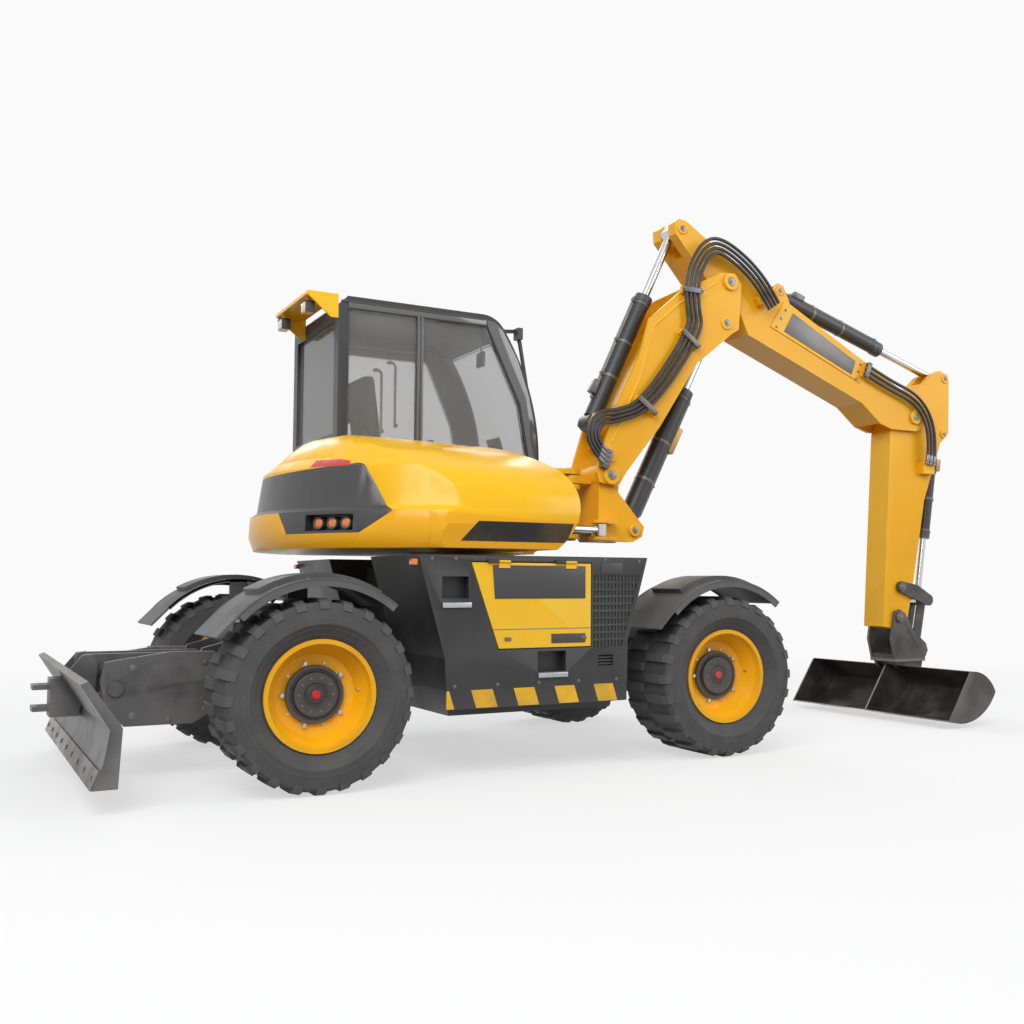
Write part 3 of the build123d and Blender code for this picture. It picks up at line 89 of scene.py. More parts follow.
def place_camera():
    yaw, pitch, roll = CAMERA_YAW, CAMERA_PITCH, CAMERA_ROLL
    ahead = Vector((cos(yaw) * cos(pitch), sin(yaw) * cos(pitch), sin(pitch)))
    level = Vector((sin(yaw), -cos(yaw), 0.0))
    upright = level.cross(ahead)
    right = cos(roll) * level + sin(roll) * upright
    up = -sin(roll) * level + cos(roll) * upright
    turn = Matrix((right, up, -ahead)).transposed().to_4x4()
    lens = bpy.data.cameras.new("photo_camera")
    lens.sensor_width = 36.0
    lens.lens = CAMERA_LENS
    lens.shift_x, lens.shift_y = CAMERA_SHIFT
    lens.clip_end = 200.0
    camera = add_object("photo_camera", lens)
    camera.matrix_world = Matrix.Translation(CAMERA_PLACE) @ turn
    bpy.context.scene.camera = camera


def place_lamps():
    for name, place, target, size, power in LAMPS:
        lamp = bpy.data.lights.new(name, "AREA")
        lamp.shape = "RECTANGLE"
        lamp.size, lamp.size_y = size
        lamp.energy = power
        holder = add_object(name, lamp)
        holder.location = place
        holder.rotation_euler = (Vector(target) - Vector(place)).to_track_quat("-Z", "Y").to_euler()


def set_world():
    """Even daylight; a ray that is seen, mirrored or let through meets the plain backdrop instead."""
    world = bpy.data.worlds.new("studio_light")
    world.use_nodes = True
    bpy.context.scene.world = world
    tree = world.node_tree
    tree.nodes.clear()
    rays = tree.nodes.new("ShaderNodeLightPath").outputs
    clear = maths(tree, "MAXIMUM", rays["Is Glossy Ray"], rays["Is Transmission Ray"])
    seen = maths(tree, "MAXIMUM", rays["Is Camera Ray"], clear)
    light = add_node(tree, "Background", DAYLIGHT, DAYLIGHT_POWER)
    pale = add_node(tree, "Background", BACKDROP, 1.0)
    both = add_node(tree, "MixShader", seen, light.outputs[0], pale.outputs[0])
    add_node(tree, "OutputWorld", both.outputs[0])


def set_floor():
    """Floor that takes the shadow near the machine and melts into the backdrop further out."""
    mesh = bpy.data.meshes.new("studio_floor")
    shape = bmesh.new()
    bmesh.ops.create_grid(shape, x_segments=1, y_segments=1, size=FLOOR_REACH)
    shape.to_mesh(mesh)
    shape.free()
    floor = add_object("studio_floor", mesh)
    material = bpy.data.materials.new("studio_floor")
    material.use_nodes = True
    tree = material.node_tree
    tree.nodes.clear()
    matt = add_node(tree, "BsdfDiffuse", FLOOR_COLOUR)
    pale = add_node(tree, "Emission", BACKDROP)
    lift = add_node(tree, "Emission", BACKDROP, FLOOR_LIFT)
    place = tree.nodes.new("ShaderNodeTexCoord").outputs["Object"]
    away = add_node(tree, "VectorMath", place, operation="LENGTH").outputs["Value"]
    rays = tree.nodes.new("ShaderNodeLightPath").outputs
    clear = maths(tree, "MAXIMUM", rays["Is Glossy Ray"], rays["Is Transmission Ray"])
    far = maths(tree, "MULTIPLY", ramp(tree, away, *FLOOR_FADE), rays["Is Camera Ray"])
    near = add_node(tree, "AddShader", matt.outputs[0], lift.outputs[0])
    bare = add_node(tree, "MixShader", rays["Is Camera Ray"], matt.outputs[0], near.outputs[0])
    both = add_node(tree, "MixShader", maths(tree, "MAXIMUM", far, clear), bare.outputs[0], pale.outputs[0])
    add_node(tree, "OutputMaterial", both.outputs[0])
    mesh.materials.append(material)


# Node building

def feed(tree, socket, value):
    """Links an output, or sets a plain value; a colour is three numbers."""
    if isinstance(value, bpy.types.NodeSocket):
        tree.links.new(value, socket)
    else:
        socket.default_value = (*value, 1.0) if socket.type == "RGBA" else value


def feed_all(tree, sockets, values):
    for name, value in values.items():
        feed(tree, sockets[name], value)


def add_node(tree, kind, *values, **settings):
    """Shader node with its settings; the values go to its first inputs."""
    node = tree.nodes.new("ShaderNode" + kind)
    for name, value in settings.items():
        setattr(node, name, value)
    for socket, value in zip(node.inputs, values):
        feed(tree, socket, value)
    return node


def noise(tree, vector, scale, detail=4.0, rough=0.55):
    cloud = tree.nodes.new("ShaderNodeTexNoise")
    feed_all(tree, cloud.inputs, {"Vector": vector, "Scale": scale, "Detail": detail, "Roughness": rough})
    return cloud.outputs["Fac"]


def ramp(tree, value, low, high, out_low=0.0, out_high=1.0):
    return add_node(tree, "MapRange", value, low, high, out_low, out_high, clamp=True).outputs["Result"]


def maths(tree, kind, a, b=0.0):
    return add_node(tree, "Math", a, b, operation=kind).outputs[0]


def all_of(tree, *masks):
    """The product of some masks: 1 where each of them is 1."""
    total = masks[0]
    for mask in masks[1:]:
        total = maths(tree, "MULTIPLY", total, mask)
    return total


def blend_colours(tree, factor, first, second):
    mix = tree.nodes.new("ShaderNodeMix")
    mix.data_type = "RGBA"
    weight = [socket for socket in mix.inputs if socket.name == "Factor" and socket.type == "VALUE"][0]
    colours = [socket for socket in mix.inputs if socket.type == "RGBA"]
    for socket, value in zip((weight, *colours), (factor, first, second)):
        feed(tree, socket, value)
    return [socket for socket in mix.outputs if socket.type == "RGBA"][0]


def new_group(name, colours, numbers=(), made_numbers=()):
    """Shader group that turns a Place, colours and numbers into a Colour and numbers; with its ends."""
    group = bpy.data.node_groups.new(name, "ShaderNodeTree")
    for way, kind, labels in (("INPUT", "Vector", ("Place",)), ("INPUT", "Color", colours),
                              ("INPUT", "Float", numbers), ("OUTPUT", "Color", ("Colour",)),
                              ("OUTPUT", "Float", made_numbers)):
        for label in labels:
            group.interface.new_socket(name=label, in_out=way, socket_type="NodeSocket" + kind)
    return group, group.nodes.new("NodeGroupInput").outputs, group.nodes.new("NodeGroupOutput").inputs


GRAIN_SCALE = 60.0
DUST_HEIGHTS = (0.1, 2.2)
HIGH_DUST = 0.35
DUST_PATCHES = (0.42, 0.72)
RUBBED_EDGES = (0.52, 0.62)


def make_road_dust():
    """Dust and scuffs that lie over a finish, thicker towards the ground, with paint rubbed on the edges."""
    group, given, made = new_group(
        "road_dust", ("Colour", "Dust Colour", "Edge Colour"),
        ("Edge Amount", "Amount", "Scale", "Clean Roughness", "Dusty Roughness"), ("Roughness", "Height"))
    cloud = noise(group, given["Place"], given["Scale"], 6.0, 0.6)
    fine = noise(group, given["Place"], GRAIN_SCALE, 3.0, 0.5)
    height = add_node(group, "SeparateXYZ", given["Place"]).outputs["Z"]
    low = ramp(group, height, *DUST_HEIGHTS, 1.0, HIGH_DUST)
    amount = all_of(group, ramp(group, cloud, *DUST_PATCHES), low, given["Amount"])
    pointed = group.nodes.new("ShaderNodeNewGeometry").outputs["Pointiness"]
    rubbed = maths(group, "MULTIPLY", ramp(group, pointed, *RUBBED_EDGES), given["Edge Amount"])
    worn = blend_colours(group, rubbed, given["Colour"], given["Edge Colour"])
    feed_all(group, made, {
        "Colour": blend_colours(group, amount, worn, given["Dust Colour"]),
        "Roughness": ramp(group, amount, 0.0, 0.6, given["Clean Roughness"], given["Dusty Roughness"]),
        "Height": fine})
    return group


BAND_PITCH = 0.2617
BAND_LEAN = 0.32
BAND_START = -0.462
BAND_HEIGHTS = (0.398, 0.498)
BAND_OUT = 1.19


def make_hazard_bands():
    """Slanted bands over the skirt along the foot of each side pod."""
    group, given, made = new_group("hazard_bands", ("Body Colour", "Band Colour"))
    x, y, z = add_node(group, "SeparateXYZ", given["Place"]).outputs
    along = maths(group, "ADD", x, maths(group, "MULTIPLY", z, BAND_LEAN))
    share = maths(group, "FRACT", maths(group, "DIVIDE", maths(group, "SUBTRACT", along, BAND_START),
                                        BAND_PITCH))
    mask = all_of(group, maths(group, "LESS_THAN", share, 0.5),
                  maths(group, "GREATER_THAN", z, BAND_HEIGHTS[0]),
                  maths(group, "LESS_THAN", z, BAND_HEIGHTS[1]),
                  maths(group, "GREATER_THAN", maths(group, "ABSOLUTE", y), BAND_OUT))
    feed(group, made["Colour"], blend_colours(group, mask, given["Body Colour"], given["Band Colour"]))
    return group


def make_side_patch():
    """A four-cornered field on both flanks, over a foot colour that ends at a sloping line."""
    group, given, made = new_group(
        "side_patch", ("Body Colour", "Patch Colour", "Foot Colour"),
        ("Rear", "Rear Lean", "Front", "Front Lean", "Low", "High", "Out", "Foot Height", "Foot Slope"))
    x, y, z = add_node(group, "SeparateXYZ", given["Place"]).outputs
    up = maths(group, "SUBTRACT", z, given["Low"])
    rear = maths(group, "SUBTRACT", x, maths(group, "MULTIPLY", up, given["Rear Lean"]))
    front = maths(group, "SUBTRACT", x, maths(group, "MULTIPLY", up, given["Front Lean"]))
    mask = all_of(group, maths(group, "GREATER_THAN", rear, given["Rear"]),
                  maths(group, "LESS_THAN", front, given["Front"]), maths(group, "GREATER_THAN", up, 0.0),
                  maths(group, "LESS_THAN", z, given["High"]),
                  maths(group, "GREATER_THAN", maths(group, "ABSOLUTE", y), given["Out"]))
    rise = maths(group, "MULTIPLY", x, given["Foot Slope"])
    below = maths(group, "LESS_THAN", maths(group, "SUBTRACT", z, rise), given["Foot Height"])
    ground = blend_colours(group, below, given["Body Colour"], given["Foot Colour"])
    feed(group, made["Colour"], blend_colours(group, mask, ground, given["Patch Colour"]))
    return group


place_camera()
set_world()
set_floor()
place_lamps()
bpy.context.scene.view_settings.view_transform = "Standard"


# Finishes, by name

finishes = {}
road_dust = make_road_dust()
hazard_bands = make_hazard_bands()
side_patch = make_side_patch()


def new_finish(name):
    """Empty finish, with its tree, its shader and the place in object coordinates."""
    material = bpy.data.materials.new(name)
    material.use_nodes = True
    tree = material.node_tree
    finishes[name] = material
    return tree, tree.nodes["Principled BSDF"], tree.nodes.new("ShaderNodeTexCoord").outputs["Object"]


def finish(name, colour, metallic=0.0, rough=0.35, dusty=0.7, dust=(0.30, 0.27, 0.23), amount=0.25, scale=4.0,
           grain=0.0, coat=0.0, gloss=0.5, edge=(0.5, 0.5, 0.5), worn=0.0, pattern=None, **pattern_values):
    """A painted, cast or moulded surface under a little dust."""
    tree, shader, place = new_finish(name)
    layer = add_node(tree, "Group", node_tree=road_dust)
    feed_all(tree, layer.inputs, {
        "Place": place, "Colour": colour, "Dust Colour": dust, "Edge Colour": edge, "Edge Amount": worn,
        "Amount": amount, "Scale": scale, "Clean Roughness": rough, "Dusty Roughness": dusty})
    if pattern:
        field = add_node(tree, "Group", node_tree=pattern)
        own = {key.replace("_", " ").title(): value for key, value in pattern_values.items()}
        feed_all(tree, field.inputs, {"Place": place, "Body Colour": colour, **own})
        feed(tree, layer.inputs["Colour"], field.outputs["Colour"])
    feed_all(tree, shader.inputs, {
        "Base Color": layer.outputs["Colour"], "Roughness": layer.outputs["Roughness"], "Metallic": metallic,
        "Specular IOR Level": gloss, "Coat Weight": coat, "Coat Roughness": 0.12})
    if grain:
        bump = tree.nodes.new("ShaderNodeBump")
        feed_all(tree, bump.inputs, {"Strength": grain, "Distance": 0.002, "Height": layer.outputs["Height"]})
        feed(tree, shader.inputs["Normal"], bump.outputs["Normal"])


def clear_glass():
    tree, shader, place = new_finish("cab_glass")
    # The share of the glass that isn't let through is a pale diffuse veil: painted reflection over the
    # windows
    feed_all(tree, shader.inputs, {
        "Base Color": (0.72, 0.725, 0.73), "Transmission Weight": 0.89, "IOR": 1.2,
        "Roughness": ramp(tree, noise(tree, place, 3.0), 0.3, 0.8, 0.02, 0.10)})


YELLOW = (0.92, 0.50, 0.003)
# Painted shade: a deeper orange that stands for the shade on the down-facing lower band of the flanks and the
# counterweight
SHADED_BELT_YELLOW = (0.90, 0.425, 0.006)
YELLOW_DUST = (0.62, 0.33, 0.03)
DARK_EDGE = (0.16, 0.16, 0.16)

finish("yellow_paint", YELLOW, rough=0.30, dusty=0.55, dust=YELLOW_DUST, amount=0.35, scale=2.2, coat=0.08,
       gloss=0.3, edge=(0.98, 0.66, 0.10), worn=0.5)
# Below the sloping foot line the body's flanks take the painted shade of the lower band
finish("body_paint", YELLOW, rough=0.26, dusty=0.5, dust=YELLOW_DUST, amount=0.3, scale=1.6, coat=0.10,
       gloss=0.3, pattern=side_patch, patch_colour=(0.012, 0.012, 0.012), rear=-1.477, rear_lean=0.87,
       front=-0.806, front_lean=0.31, low=1.325, high=1.438, out=1.10, foot_colour=SHADED_BELT_YELLOW,
       foot_height=1.4092, foot_slope=-0.0455)
# The counterweight wears the painted shade of the lower band all over
finish("shaded_belt_paint", SHADED_BELT_YELLOW, rough=0.28, dusty=0.5, dust=YELLOW_DUST, amount=0.3, scale=1.6, coat=0.10,
       gloss=0.3)
finish("arm_paint", (0.90, 0.43, 0.005), rough=0.36, dusty=0.55, dust=(0.55, 0.27, 0.03), amount=0.45,
       scale=2.6, coat=0.05, gloss=0.25, edge=(0.98, 0.62, 0.08), worn=0.6)
finish("grey_paint", (0.028, 0.028, 0.030), rough=0.42, dusty=0.6, dust=(0.06, 0.058, 0.055), amount=0.6,
       grain=0.12, edge=DARK_EDGE, worn=0.35)
finish("pod_paint", (0.020, 0.020, 0.021), rough=0.38, dusty=0.6, dust=(0.055, 0.053, 0.05), amount=0.5,
       grain=0.15, edge=DARK_EDGE, worn=0.3, pattern=hazard_bands, band_colour=(0.93, 0.50, 0.012))
finish("tail_paint", YELLOW, rough=0.34, dusty=0.55, dust=(0.07, 0.068, 0.065), amount=0.25, grain=0.1,
       pattern=side_patch, patch_colour=(0.55, 0.012, 0.008), rear=-2.129, rear_lean=0.96, front=-1.980,
       front_lean=0.7, low=1.755, high=1.802, out=0.3, foot_colour=(0.050, 0.050, 0.052), foot_height=1.9985,
       foot_slope=0.118)
finish("guard_plastic", (0.060, 0.061, 0.064), rough=0.5, dusty=0.75, dust=(0.15, 0.14, 0.13), amount=0.6,
       grain=0.3, edge=(0.2, 0.2, 0.2), worn=0.4)
finish("steel_black", (0.050, 0.047, 0.046), metallic=0.4, rough=0.36, dusty=0.6, dust=(0.17, 0.15, 0.14),
       amount=0.75, grain=0.25, edge=(0.35, 0.34, 0.33), worn=0.6)
finish("blade_steel", (0.085, 0.083, 0.084), metallic=0.4, rough=0.40, dusty=0.62, dust=(0.21, 0.20, 0.195),
       amount=0.8, grain=0.3, edge=(0.35, 0.34, 0.33), worn=0.6)
finish("worn_steel", (0.22, 0.215, 0.21), metallic=0.8, rough=0.36, dusty=0.6, dust=(0.16, 0.13, 0.11),
       amount=0.8, grain=0.3)
finish("bright_steel", (0.52, 0.53, 0.55), metallic=0.9, rough=0.3, dusty=0.5, dust=(0.25, 0.24, 0.22),
       amount=0.5, grain=0.1)
finish("rim_paint", (0.93, 0.45, 0.006), rough=0.34, dusty=0.6, dust=(0.50, 0.20, 0.03), amount=0.35,
       coat=0.1, gloss=0.35)
finish("hub_paint", (0.040, 0.038, 0.037), metallic=0.3, rough=0.45, dusty=0.7, dust=(0.13, 0.12, 0.11),
       amount=0.7, grain=0.2, edge=(0.25, 0.25, 0.25), worn=0.5)
finish("tyre_rubber", (0.058, 0.058, 0.059), rough=0.74, dusty=0.9, dust=(0.13, 0.128, 0.122), amount=0.42,
       scale=9.0, grain=0.4, edge=(0.10, 0.10, 0.10), worn=0.6)
finish("hose_rubber", (0.020, 0.020, 0.021), rough=0.42, dusty=0.7, amount=0.25, scale=9.0, grain=0.2)
finish("rod_chrome", (0.58, 0.59, 0.61), metallic=1.0, rough=0.18, dusty=0.3, dust=(0.4, 0.4, 0.4),
       amount=0.3)
finish("cast_iron", (0.16, 0.16, 0.16), metallic=0.6, rough=0.55, amount=0.4, grain=0.4)
finish("brass_block", (0.42, 0.25, 0.09), metallic=0.5, rough=0.42, amount=0.3, grain=0.2)
finish("cab_plastic", (0.05, 0.05, 0.052), rough=0.55, amount=0.2, grain=0.3)
finish("seat_fabric", (0.035, 0.035, 0.038), rough=0.9, amount=0.2, grain=0.6)
finish("red_cap", (0.62, 0.015, 0.01), rough=0.35, amount=0.3)
finish("amber_lens", (0.85, 0.20, 0.01), rough=0.14, amount=0.2, coat=0.8)
finish("clear_lens", (0.70, 0.72, 0.74), rough=0.12, amount=0.15, coat=0.8)
clear_glass()
finish("glass_edge", (0.105, 0.106, 0.109), rough=0.08, dusty=0.2, dust=(0.15, 0.15, 0.15), amount=0.4,
       scale=3.0, coat=0.6)

# Nodes that don't wear the finish of their slot
OWN_FINISHES = {
    "yellow_paint": ("engine_cover",), "body_paint": ("body_cover",), "tail_paint": ("rear_panel",),
    "shaded_belt_paint": ("counterweight",), "pod_paint": ("pod_right", "pod_left"), "guard_plastic": KNUCKLES,
    "blade_steel": ("blade", "blade_arm", "blade_link", "blade_barrel"), "bright_steel": ("slew_ring",),
    "arm_paint": ("kingpost", "lower_boom", "upper_boom", "dipper"),
}
own_finish = {name: finish_name for finish_name, names in OWN_FINISHES.items() for name in names}
for entry in frame["record"]["subparts"]:
    mesh = nodes[entry["node"]].data
    mesh.materials.clear()
    mesh.materials.append(finishes[own_finish.get(entry["node"], entry["material_slot"])])


# Worn edges: widths and gaps in metres, angles in degrees
WELD_GAP = 0.00005
FLAT_ANGLE = 0.6
EDGE_ANGLE = 35.0
EDGE_WIDTHS = {
    0.008: ("counterweight", "body_cover"),
    0.006: ("chassis_frame", "axle_front", "axle_rear", "rear_panel", "cab_shell", "kingpost", "upper_boom",
            "dipper"),
    0.005: ("upper_frame", "door_frame", "lower_boom", "blade"),
    0.004: ("pod_right", "pod_left", "rear_canopy", "lever", "quick_hitch", "blade_arm", "blade_link",
            *KNUCKLES),
    0.003: ("engine_cover", "link", "bucket"),
}


def soften(name, width):
    """Worn, rounded edges on a machined, cast or welded node."""
    node = nodes[name]
    weld = node.modifiers.new("join", "WELD")
    weld.merge_threshold = WELD_GAP
    flat = node.modifiers.new("flats", "DECIMATE")
    flat.decimate_type = "DISSOLVE"
    flat.angle_limit = radians(FLAT_ANGLE)
    edge = node.modifiers.new("worn_edges", "BEVEL")
    edge.width = width
    edge.segments = 2
    edge.limit_method = "ANGLE"
    edge.angle_limit = radians(EDGE_ANGLE)


for edge_width, names in EDGE_WIDTHS.items():
    for node_name in names:
        soften(node_name, edge_width)


# Shapes and pieces

MERGE_DISTANCE = 0.01
SHARP_ANGLE = 32.0
PAD_SHARP_ANGLE = 60.0


def round_edges(shape, edges, width):
    bmesh.ops.bevel(shape, geom=edges, offset=width, offset_type="OFFSET", segments=2, profile=0.5,
                    affect="EDGES", material=-1)


def add_box(shape, low, high, bevel=0.0, turn=None):
    """Box between two corners; turn is a rotation about its middle."""
    low, high = Vector(low), Vector(high)
    made = bmesh.ops.create_cube(shape, size=1.0)["verts"]
    spin = turn.to_4x4() if turn else Matrix()
    place = Matrix.Translation((low + high) / 2) @ spin @ Matrix.Diagonal((*(high - low), 1.0))
    bmesh.ops.transform(shape, matrix=place, verts=made)
    if bevel:
        round_edges(shape, list({edge for vert in made for edge in vert.link_edges}), bevel)


def add_block(shape, middle, half, bevel, turn=None):
    """Box about its middle, by its half lengths."""
    add_box(shape, middle - Vector(half), middle + Vector(half), bevel, turn)


def add_rod(shape, start, end, radius, segments, bevel=0.0):
    """Straight round or many-sided bar between two points."""
    start, end = Vector(start), Vector(end)
    run = end - start
    made = bmesh.ops.create_cone(shape, cap_ends=True, cap_tris=False, segments=segments, radius1=radius,
                                 radius2=radius, depth=run.length)["verts"]
    turn = run.to_track_quat("Z", "Y").to_matrix().to_4x4()
    bmesh.ops.transform(shape, matrix=Matrix.Translation((start + end) / 2) @ turn, verts=made)
    if bevel:
        rims = [edge for edge in {e for v in made for e in v.link_edges}
                if any(len(face.verts) > 4 for face in edge.link_faces)]
        round_edges(shape, rims, bevel)


def add_plate(shape, outline, low_y, high_y, bevel=0.0):
    """Flat plate cut to an outline in X, Z."""
    corners = [shape.verts.new((x, low_y, z)) for x, z in outline]
    face = shape.faces.new(corners)
    made = bmesh.ops.extrude_face_region(shape, geom=[face])["geom"]
    moved = [item for item in made if isinstance(item, bmesh.types.BMVert)]
    bmesh.ops.translate(shape, verts=moved, vec=(0.0, high_y - low_y, 0.0))
    if bevel:
        round_edges(shape, list({edge for vert in corners + moved for edge in vert.link_edges}), bevel)


def spin_line(shape, spots, ends, centre, steps):
    edges = [shape.edges.new(pair) for pair in zip(spots, ends)]
    bmesh.ops.spin(shape, geom=spots + edges, cent=centre, axis=(0.0, 1.0, 0.0), angle=2 * pi, steps=steps,
                   use_merge=True)


def line_spots(shape, line, centre):
    return [shape.verts.new((centre[0] + r, centre[1] + y, centre[2])) for r, y in line]


def add_turned(shape, profile, centre, steps):
    """Solid turned about a line along Y through the centre; profile is (radius, Y) from pole to pole."""
    spots = line_spots(shape, profile, centre)
    spin_line(shape, spots, spots[1:], centre, steps)
    bmesh.ops.remove_doubles(shape, verts=shape.verts, dist=MERGE_DISTANCE)


def add_ring(shape, section, centre, steps):
    """Closed ring turned about a line along Y; section is (radius, Y) round its outline."""
    spots = line_spots(shape, section, centre)
    spin_line(shape, spots, spots[1:] + spots[:1], centre, steps)


def join_part(shape, part, place):
    """Puts a part that is made at the origin into a shape, at its place."""
    bmesh.ops.transform(part, matrix=place, verts=part.verts)
    holder = bpy.data.meshes.new("joined_part")
    part.to_mesh(holder)
    part.free()
    shape.from_mesh(holder)
    bpy.data.meshes.remove(holder)


def add_band(shape, centre, run, inner, outer, half):
    """A ring round a tube that runs along run."""
    ring = bmesh.new()
    section = [(inner, -half), (outer - 1, -half), (outer, 1 - half), (outer, half - 1), (outer - 1, half),
               (inner, half)]
    add_ring(ring, section, (0.0, 0.0, 0.0), 36)
    join_part(shape, ring, Matrix.Translation(centre) @ run.to_track_quat("Y", "Z").to_matrix().to_4x4())


def add_bolt(shape, place, way, radius, height):
    """Hexagon head with a washer; way is the unit direction that it points."""
    place, way = Vector(place), Vector(way)
    add_rod(shape, place - way * 1.0, place + way * 2.0, radius * 1.45, 16)
    add_rod(shape, place, place + way * height, radius, 6, bevel=1.2)


def make_piece(name, shape, finish_name, body=None, angle=SHARP_ANGLE):
    """Finished object from a shape in millimetres, riding on a body if it is given."""
    bmesh.ops.transform(shape, matrix=TO_ROW, verts=shape.verts)
    bmesh.ops.recalc_face_normals(shape, faces=shape.faces)
    mesh = bpy.data.meshes.new(name)
    shape.to_mesh(mesh)
    shape.free()
    mesh.shade_smooth()
    mesh.set_sharp_from_angle(angle=radians(angle))
    mesh.materials.append(finishes[finish_name])
    piece = add_object(name, mesh)
    if body:
        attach(piece, body)
    return piece


def box_piece(name, finish_name, body, *boxes):
    """Piece of boxes, each with two corners and the width of its rounded edges."""
    shape = bmesh.new()
    for box in boxes:
        add_box(shape, *box)
    make_piece(name, shape, finish_name, body)


# Wheels and mudguards

RIM_Y = 995.0
HUB_BOLT_CIRCLE = 90.0
WHEEL_NUT_CIRCLE = 170.0
SIDEWALL_RINGS = ((322.0, 208.0), (352.0, 231.0), (404.0, 246.0))
GUARD_RADIUS = 610.0
GUARD_LIPS = ((708.0, 588.0), (1243.0, 566.0))
GUARD_BOLT_TURNS = (62, 80, 98, 114)
GUARD_BOLT_ROWS = (735.0, 1218.0)


def hub_fittings(name, x, side):
    """Dark hub cover with its small bolts, the wheel nuts, centre cap, sidewall rings and valve."""
    body = f"wheel_{name}"
    centre = (x, RIM_Y * side, WHEEL_Z)

    def on_circle(i, radius, away):
        """Place of one of ten bolts, away from the rim's middle."""
        turn = radians(36.0 * i)
        return Vector((x + radius * cos(turn), centre[1] + away * side, WHEEL_Z + radius * sin(turn)))

    cover = bmesh.new()
    profile = [(0, 60), (153, 60), (154, 90), (150, 94), (134, 95), (131, 92), (122, 93), (116, 110),
               (112, 113), (64, 114), (60, 110), (48, 110), (44, 113), (0, 113)]
    add_turned(cover, [(r, y * side) for r, y in profile], centre, 64)
    nuts = bmesh.new()
    for i in range(10):
        add_rod(cover, on_circle(i, HUB_BOLT_CIRCLE, 110), on_circle(i, HUB_BOLT_CIRCLE, 116), 7.0, 12)
        radius, height = (12.0, 24.0) if i % 2 else (7.0, 9.0)
        add_bolt(nuts, on_circle(i, WHEEL_NUT_CIRCLE, 67), (0, side, 0), radius, height)
    make_piece(f"hub_cover_{name}", cover, "hub_paint", body)
    make_piece(f"wheel_nuts_{name}", nuts, "bright_steel", body)
    cap = bmesh.new()
    profile = [(0, 108), (24, 108), (24, 120), (19, 125), (0, 126)]
    add_turned(cap, [(r, y * side) for r, y in profile], centre, 24)
    make_piece(f"hub_cap_{name}", cap, "red_cap", body)
    ring = bmesh.new()
    for radius, y in SIDEWALL_RINGS:
        section = [(-5, -9), (-3, 3), (3, 3), (6, -9)]
        add_ring(ring, [(radius + r, (y + w) * side) for r, w in section], centre, 72)
    make_piece(f"sidewall_rings_{name}", ring, "tyre_rubber", body)
    stem = bmesh.new()
    foot = Vector((x + 222, centre[1] + 84 * side, WHEEL_Z + 20))
    add_rod(stem, foot, foot + Vector((0, 34 * side, 0)), 5, 12)
    make_piece(f"valve_stem_{name}", stem, "bright_steel", body)


def guard_trim(name, x, side):
    """Bolts over a mudguard and the lips along its edges."""
    bolts = bmesh.new()
    for turn in GUARD_BOLT_TURNS:
        away = Vector((cos(radians(turn)), 0.0, sin(radians(turn))))
        for y in GUARD_BOLT_ROWS:
            add_bolt(bolts, Vector((x, y * side, WHEEL_Z)) + away * (GUARD_RADIUS - 3), away, 8.0, 7.0)
    make_piece(f"guard_bolts_{name}", bolts, "steel_black", f"knuckle_{name}")
    lip = bmesh.new()
    steps = [radians(50 + 86 * i / 28) for i in range(29)]
    for y, deep in GUARD_LIPS:
        outline = [(x + radius * cos(a), WHEEL_Z + radius * sin(a))
                   for radius, turns in ((GUARD_RADIUS, steps), (deep, steps[::-1])) for a in turns]
        add_plate(lip, outline, y * side - 6, y * side + 6)
    make_piece(f"guard_lips_{name}", lip, "guard_plastic", f"knuckle_{name}")


for wheel in WHEELS:
    hub_fittings(*wheel)
for wheel in WHEELS:
    guard_trim(*wheel)


# Side pods and engine cover

POD_Y = 1199.5
TREAD_BARS = ((-641.0, -469.0, 955.0), (-49.0, 142.0, 550.0))
SKIRT_BOLTS = (-560.0, -300.0, -40.0, 220.0, 480.0)
POD_BOLTS = ((-700.0, 1225.0), (-560.0, 1225.0), (400.0, 1232.0), (640.0, 1225.0))
GRILLE_STEPS = range(338, 630, 24)
GRILLE_FOOT = 716.0
GRILLE_BEND_X = 516.0
GRILLE_RISE = 423.0 / 124.0


def pod_trim():
    """Tread bars, grille, louvres, marker lamps and bolts of the pods."""
    bars = bmesh.new()
    for low_x, high_x, z in TREAD_BARS:
        add_box(bars, (low_x, -1217.0, z), (high_x, -1199.0, z + 28), 2.0)
        for i in range(7):
            x = low_x + 18 + i * (high_x - low_x - 36) / 6
            add_rod(bars, (x, -1216.0, z + 14), (x, -1220.0, z + 14), 7.0, 12)
    make_piece("tread_bars", bars, "bright_steel", "chassis")
    grille = bmesh.new()
    for x in GRILLE_STEPS:
        low = GRILLE_FOOT + max(x - GRILLE_BEND_X, 0.0) * GRILLE_RISE
        add_box(grille, (x - 2.5, -1198.5, low), (x + 2.5, -1191.0, 1139.0))
    make_piece("grille_bars", grille, "grey_paint", "chassis")
    louvres = bmesh.new()
    for i in range(3):
        z = 616 + i * 19
        add_box(louvres, (353.0, -1197.0, z), (456.0, -1176.0, z + 4), 0.0,
                Matrix.Rotation(radians(25), 3, "X"))
    add_box(louvres, (372.0, -1204.0, 1150.0), (520.0, -1199.0, 1214.0), 1.5)
    make_piece("pod_louvres", louvres, "grey_paint", "chassis")
    box_piece("marker_lamps", "amber_lens", "chassis",
              *(((-806.0, y, 1188.0), (-776.0, y + 62, 1222.0), 5.0) for y in (-1190.0, 1128.0)))
    bolts = bmesh.new()
    for side in (1, -1):
        for x in SKIRT_BOLTS:
            add_bolt(bolts, (x, 1200.0 * side, 522.0), (0, side, 0), 7.0, 6.0)
    for x, z in POD_BOLTS:
        add_bolt(bolts, (x, -1200.0, z), (0, -1, 0), 7.0, 6.0)
    make_piece("pod_bolts", bolts, "steel_black", "chassis")


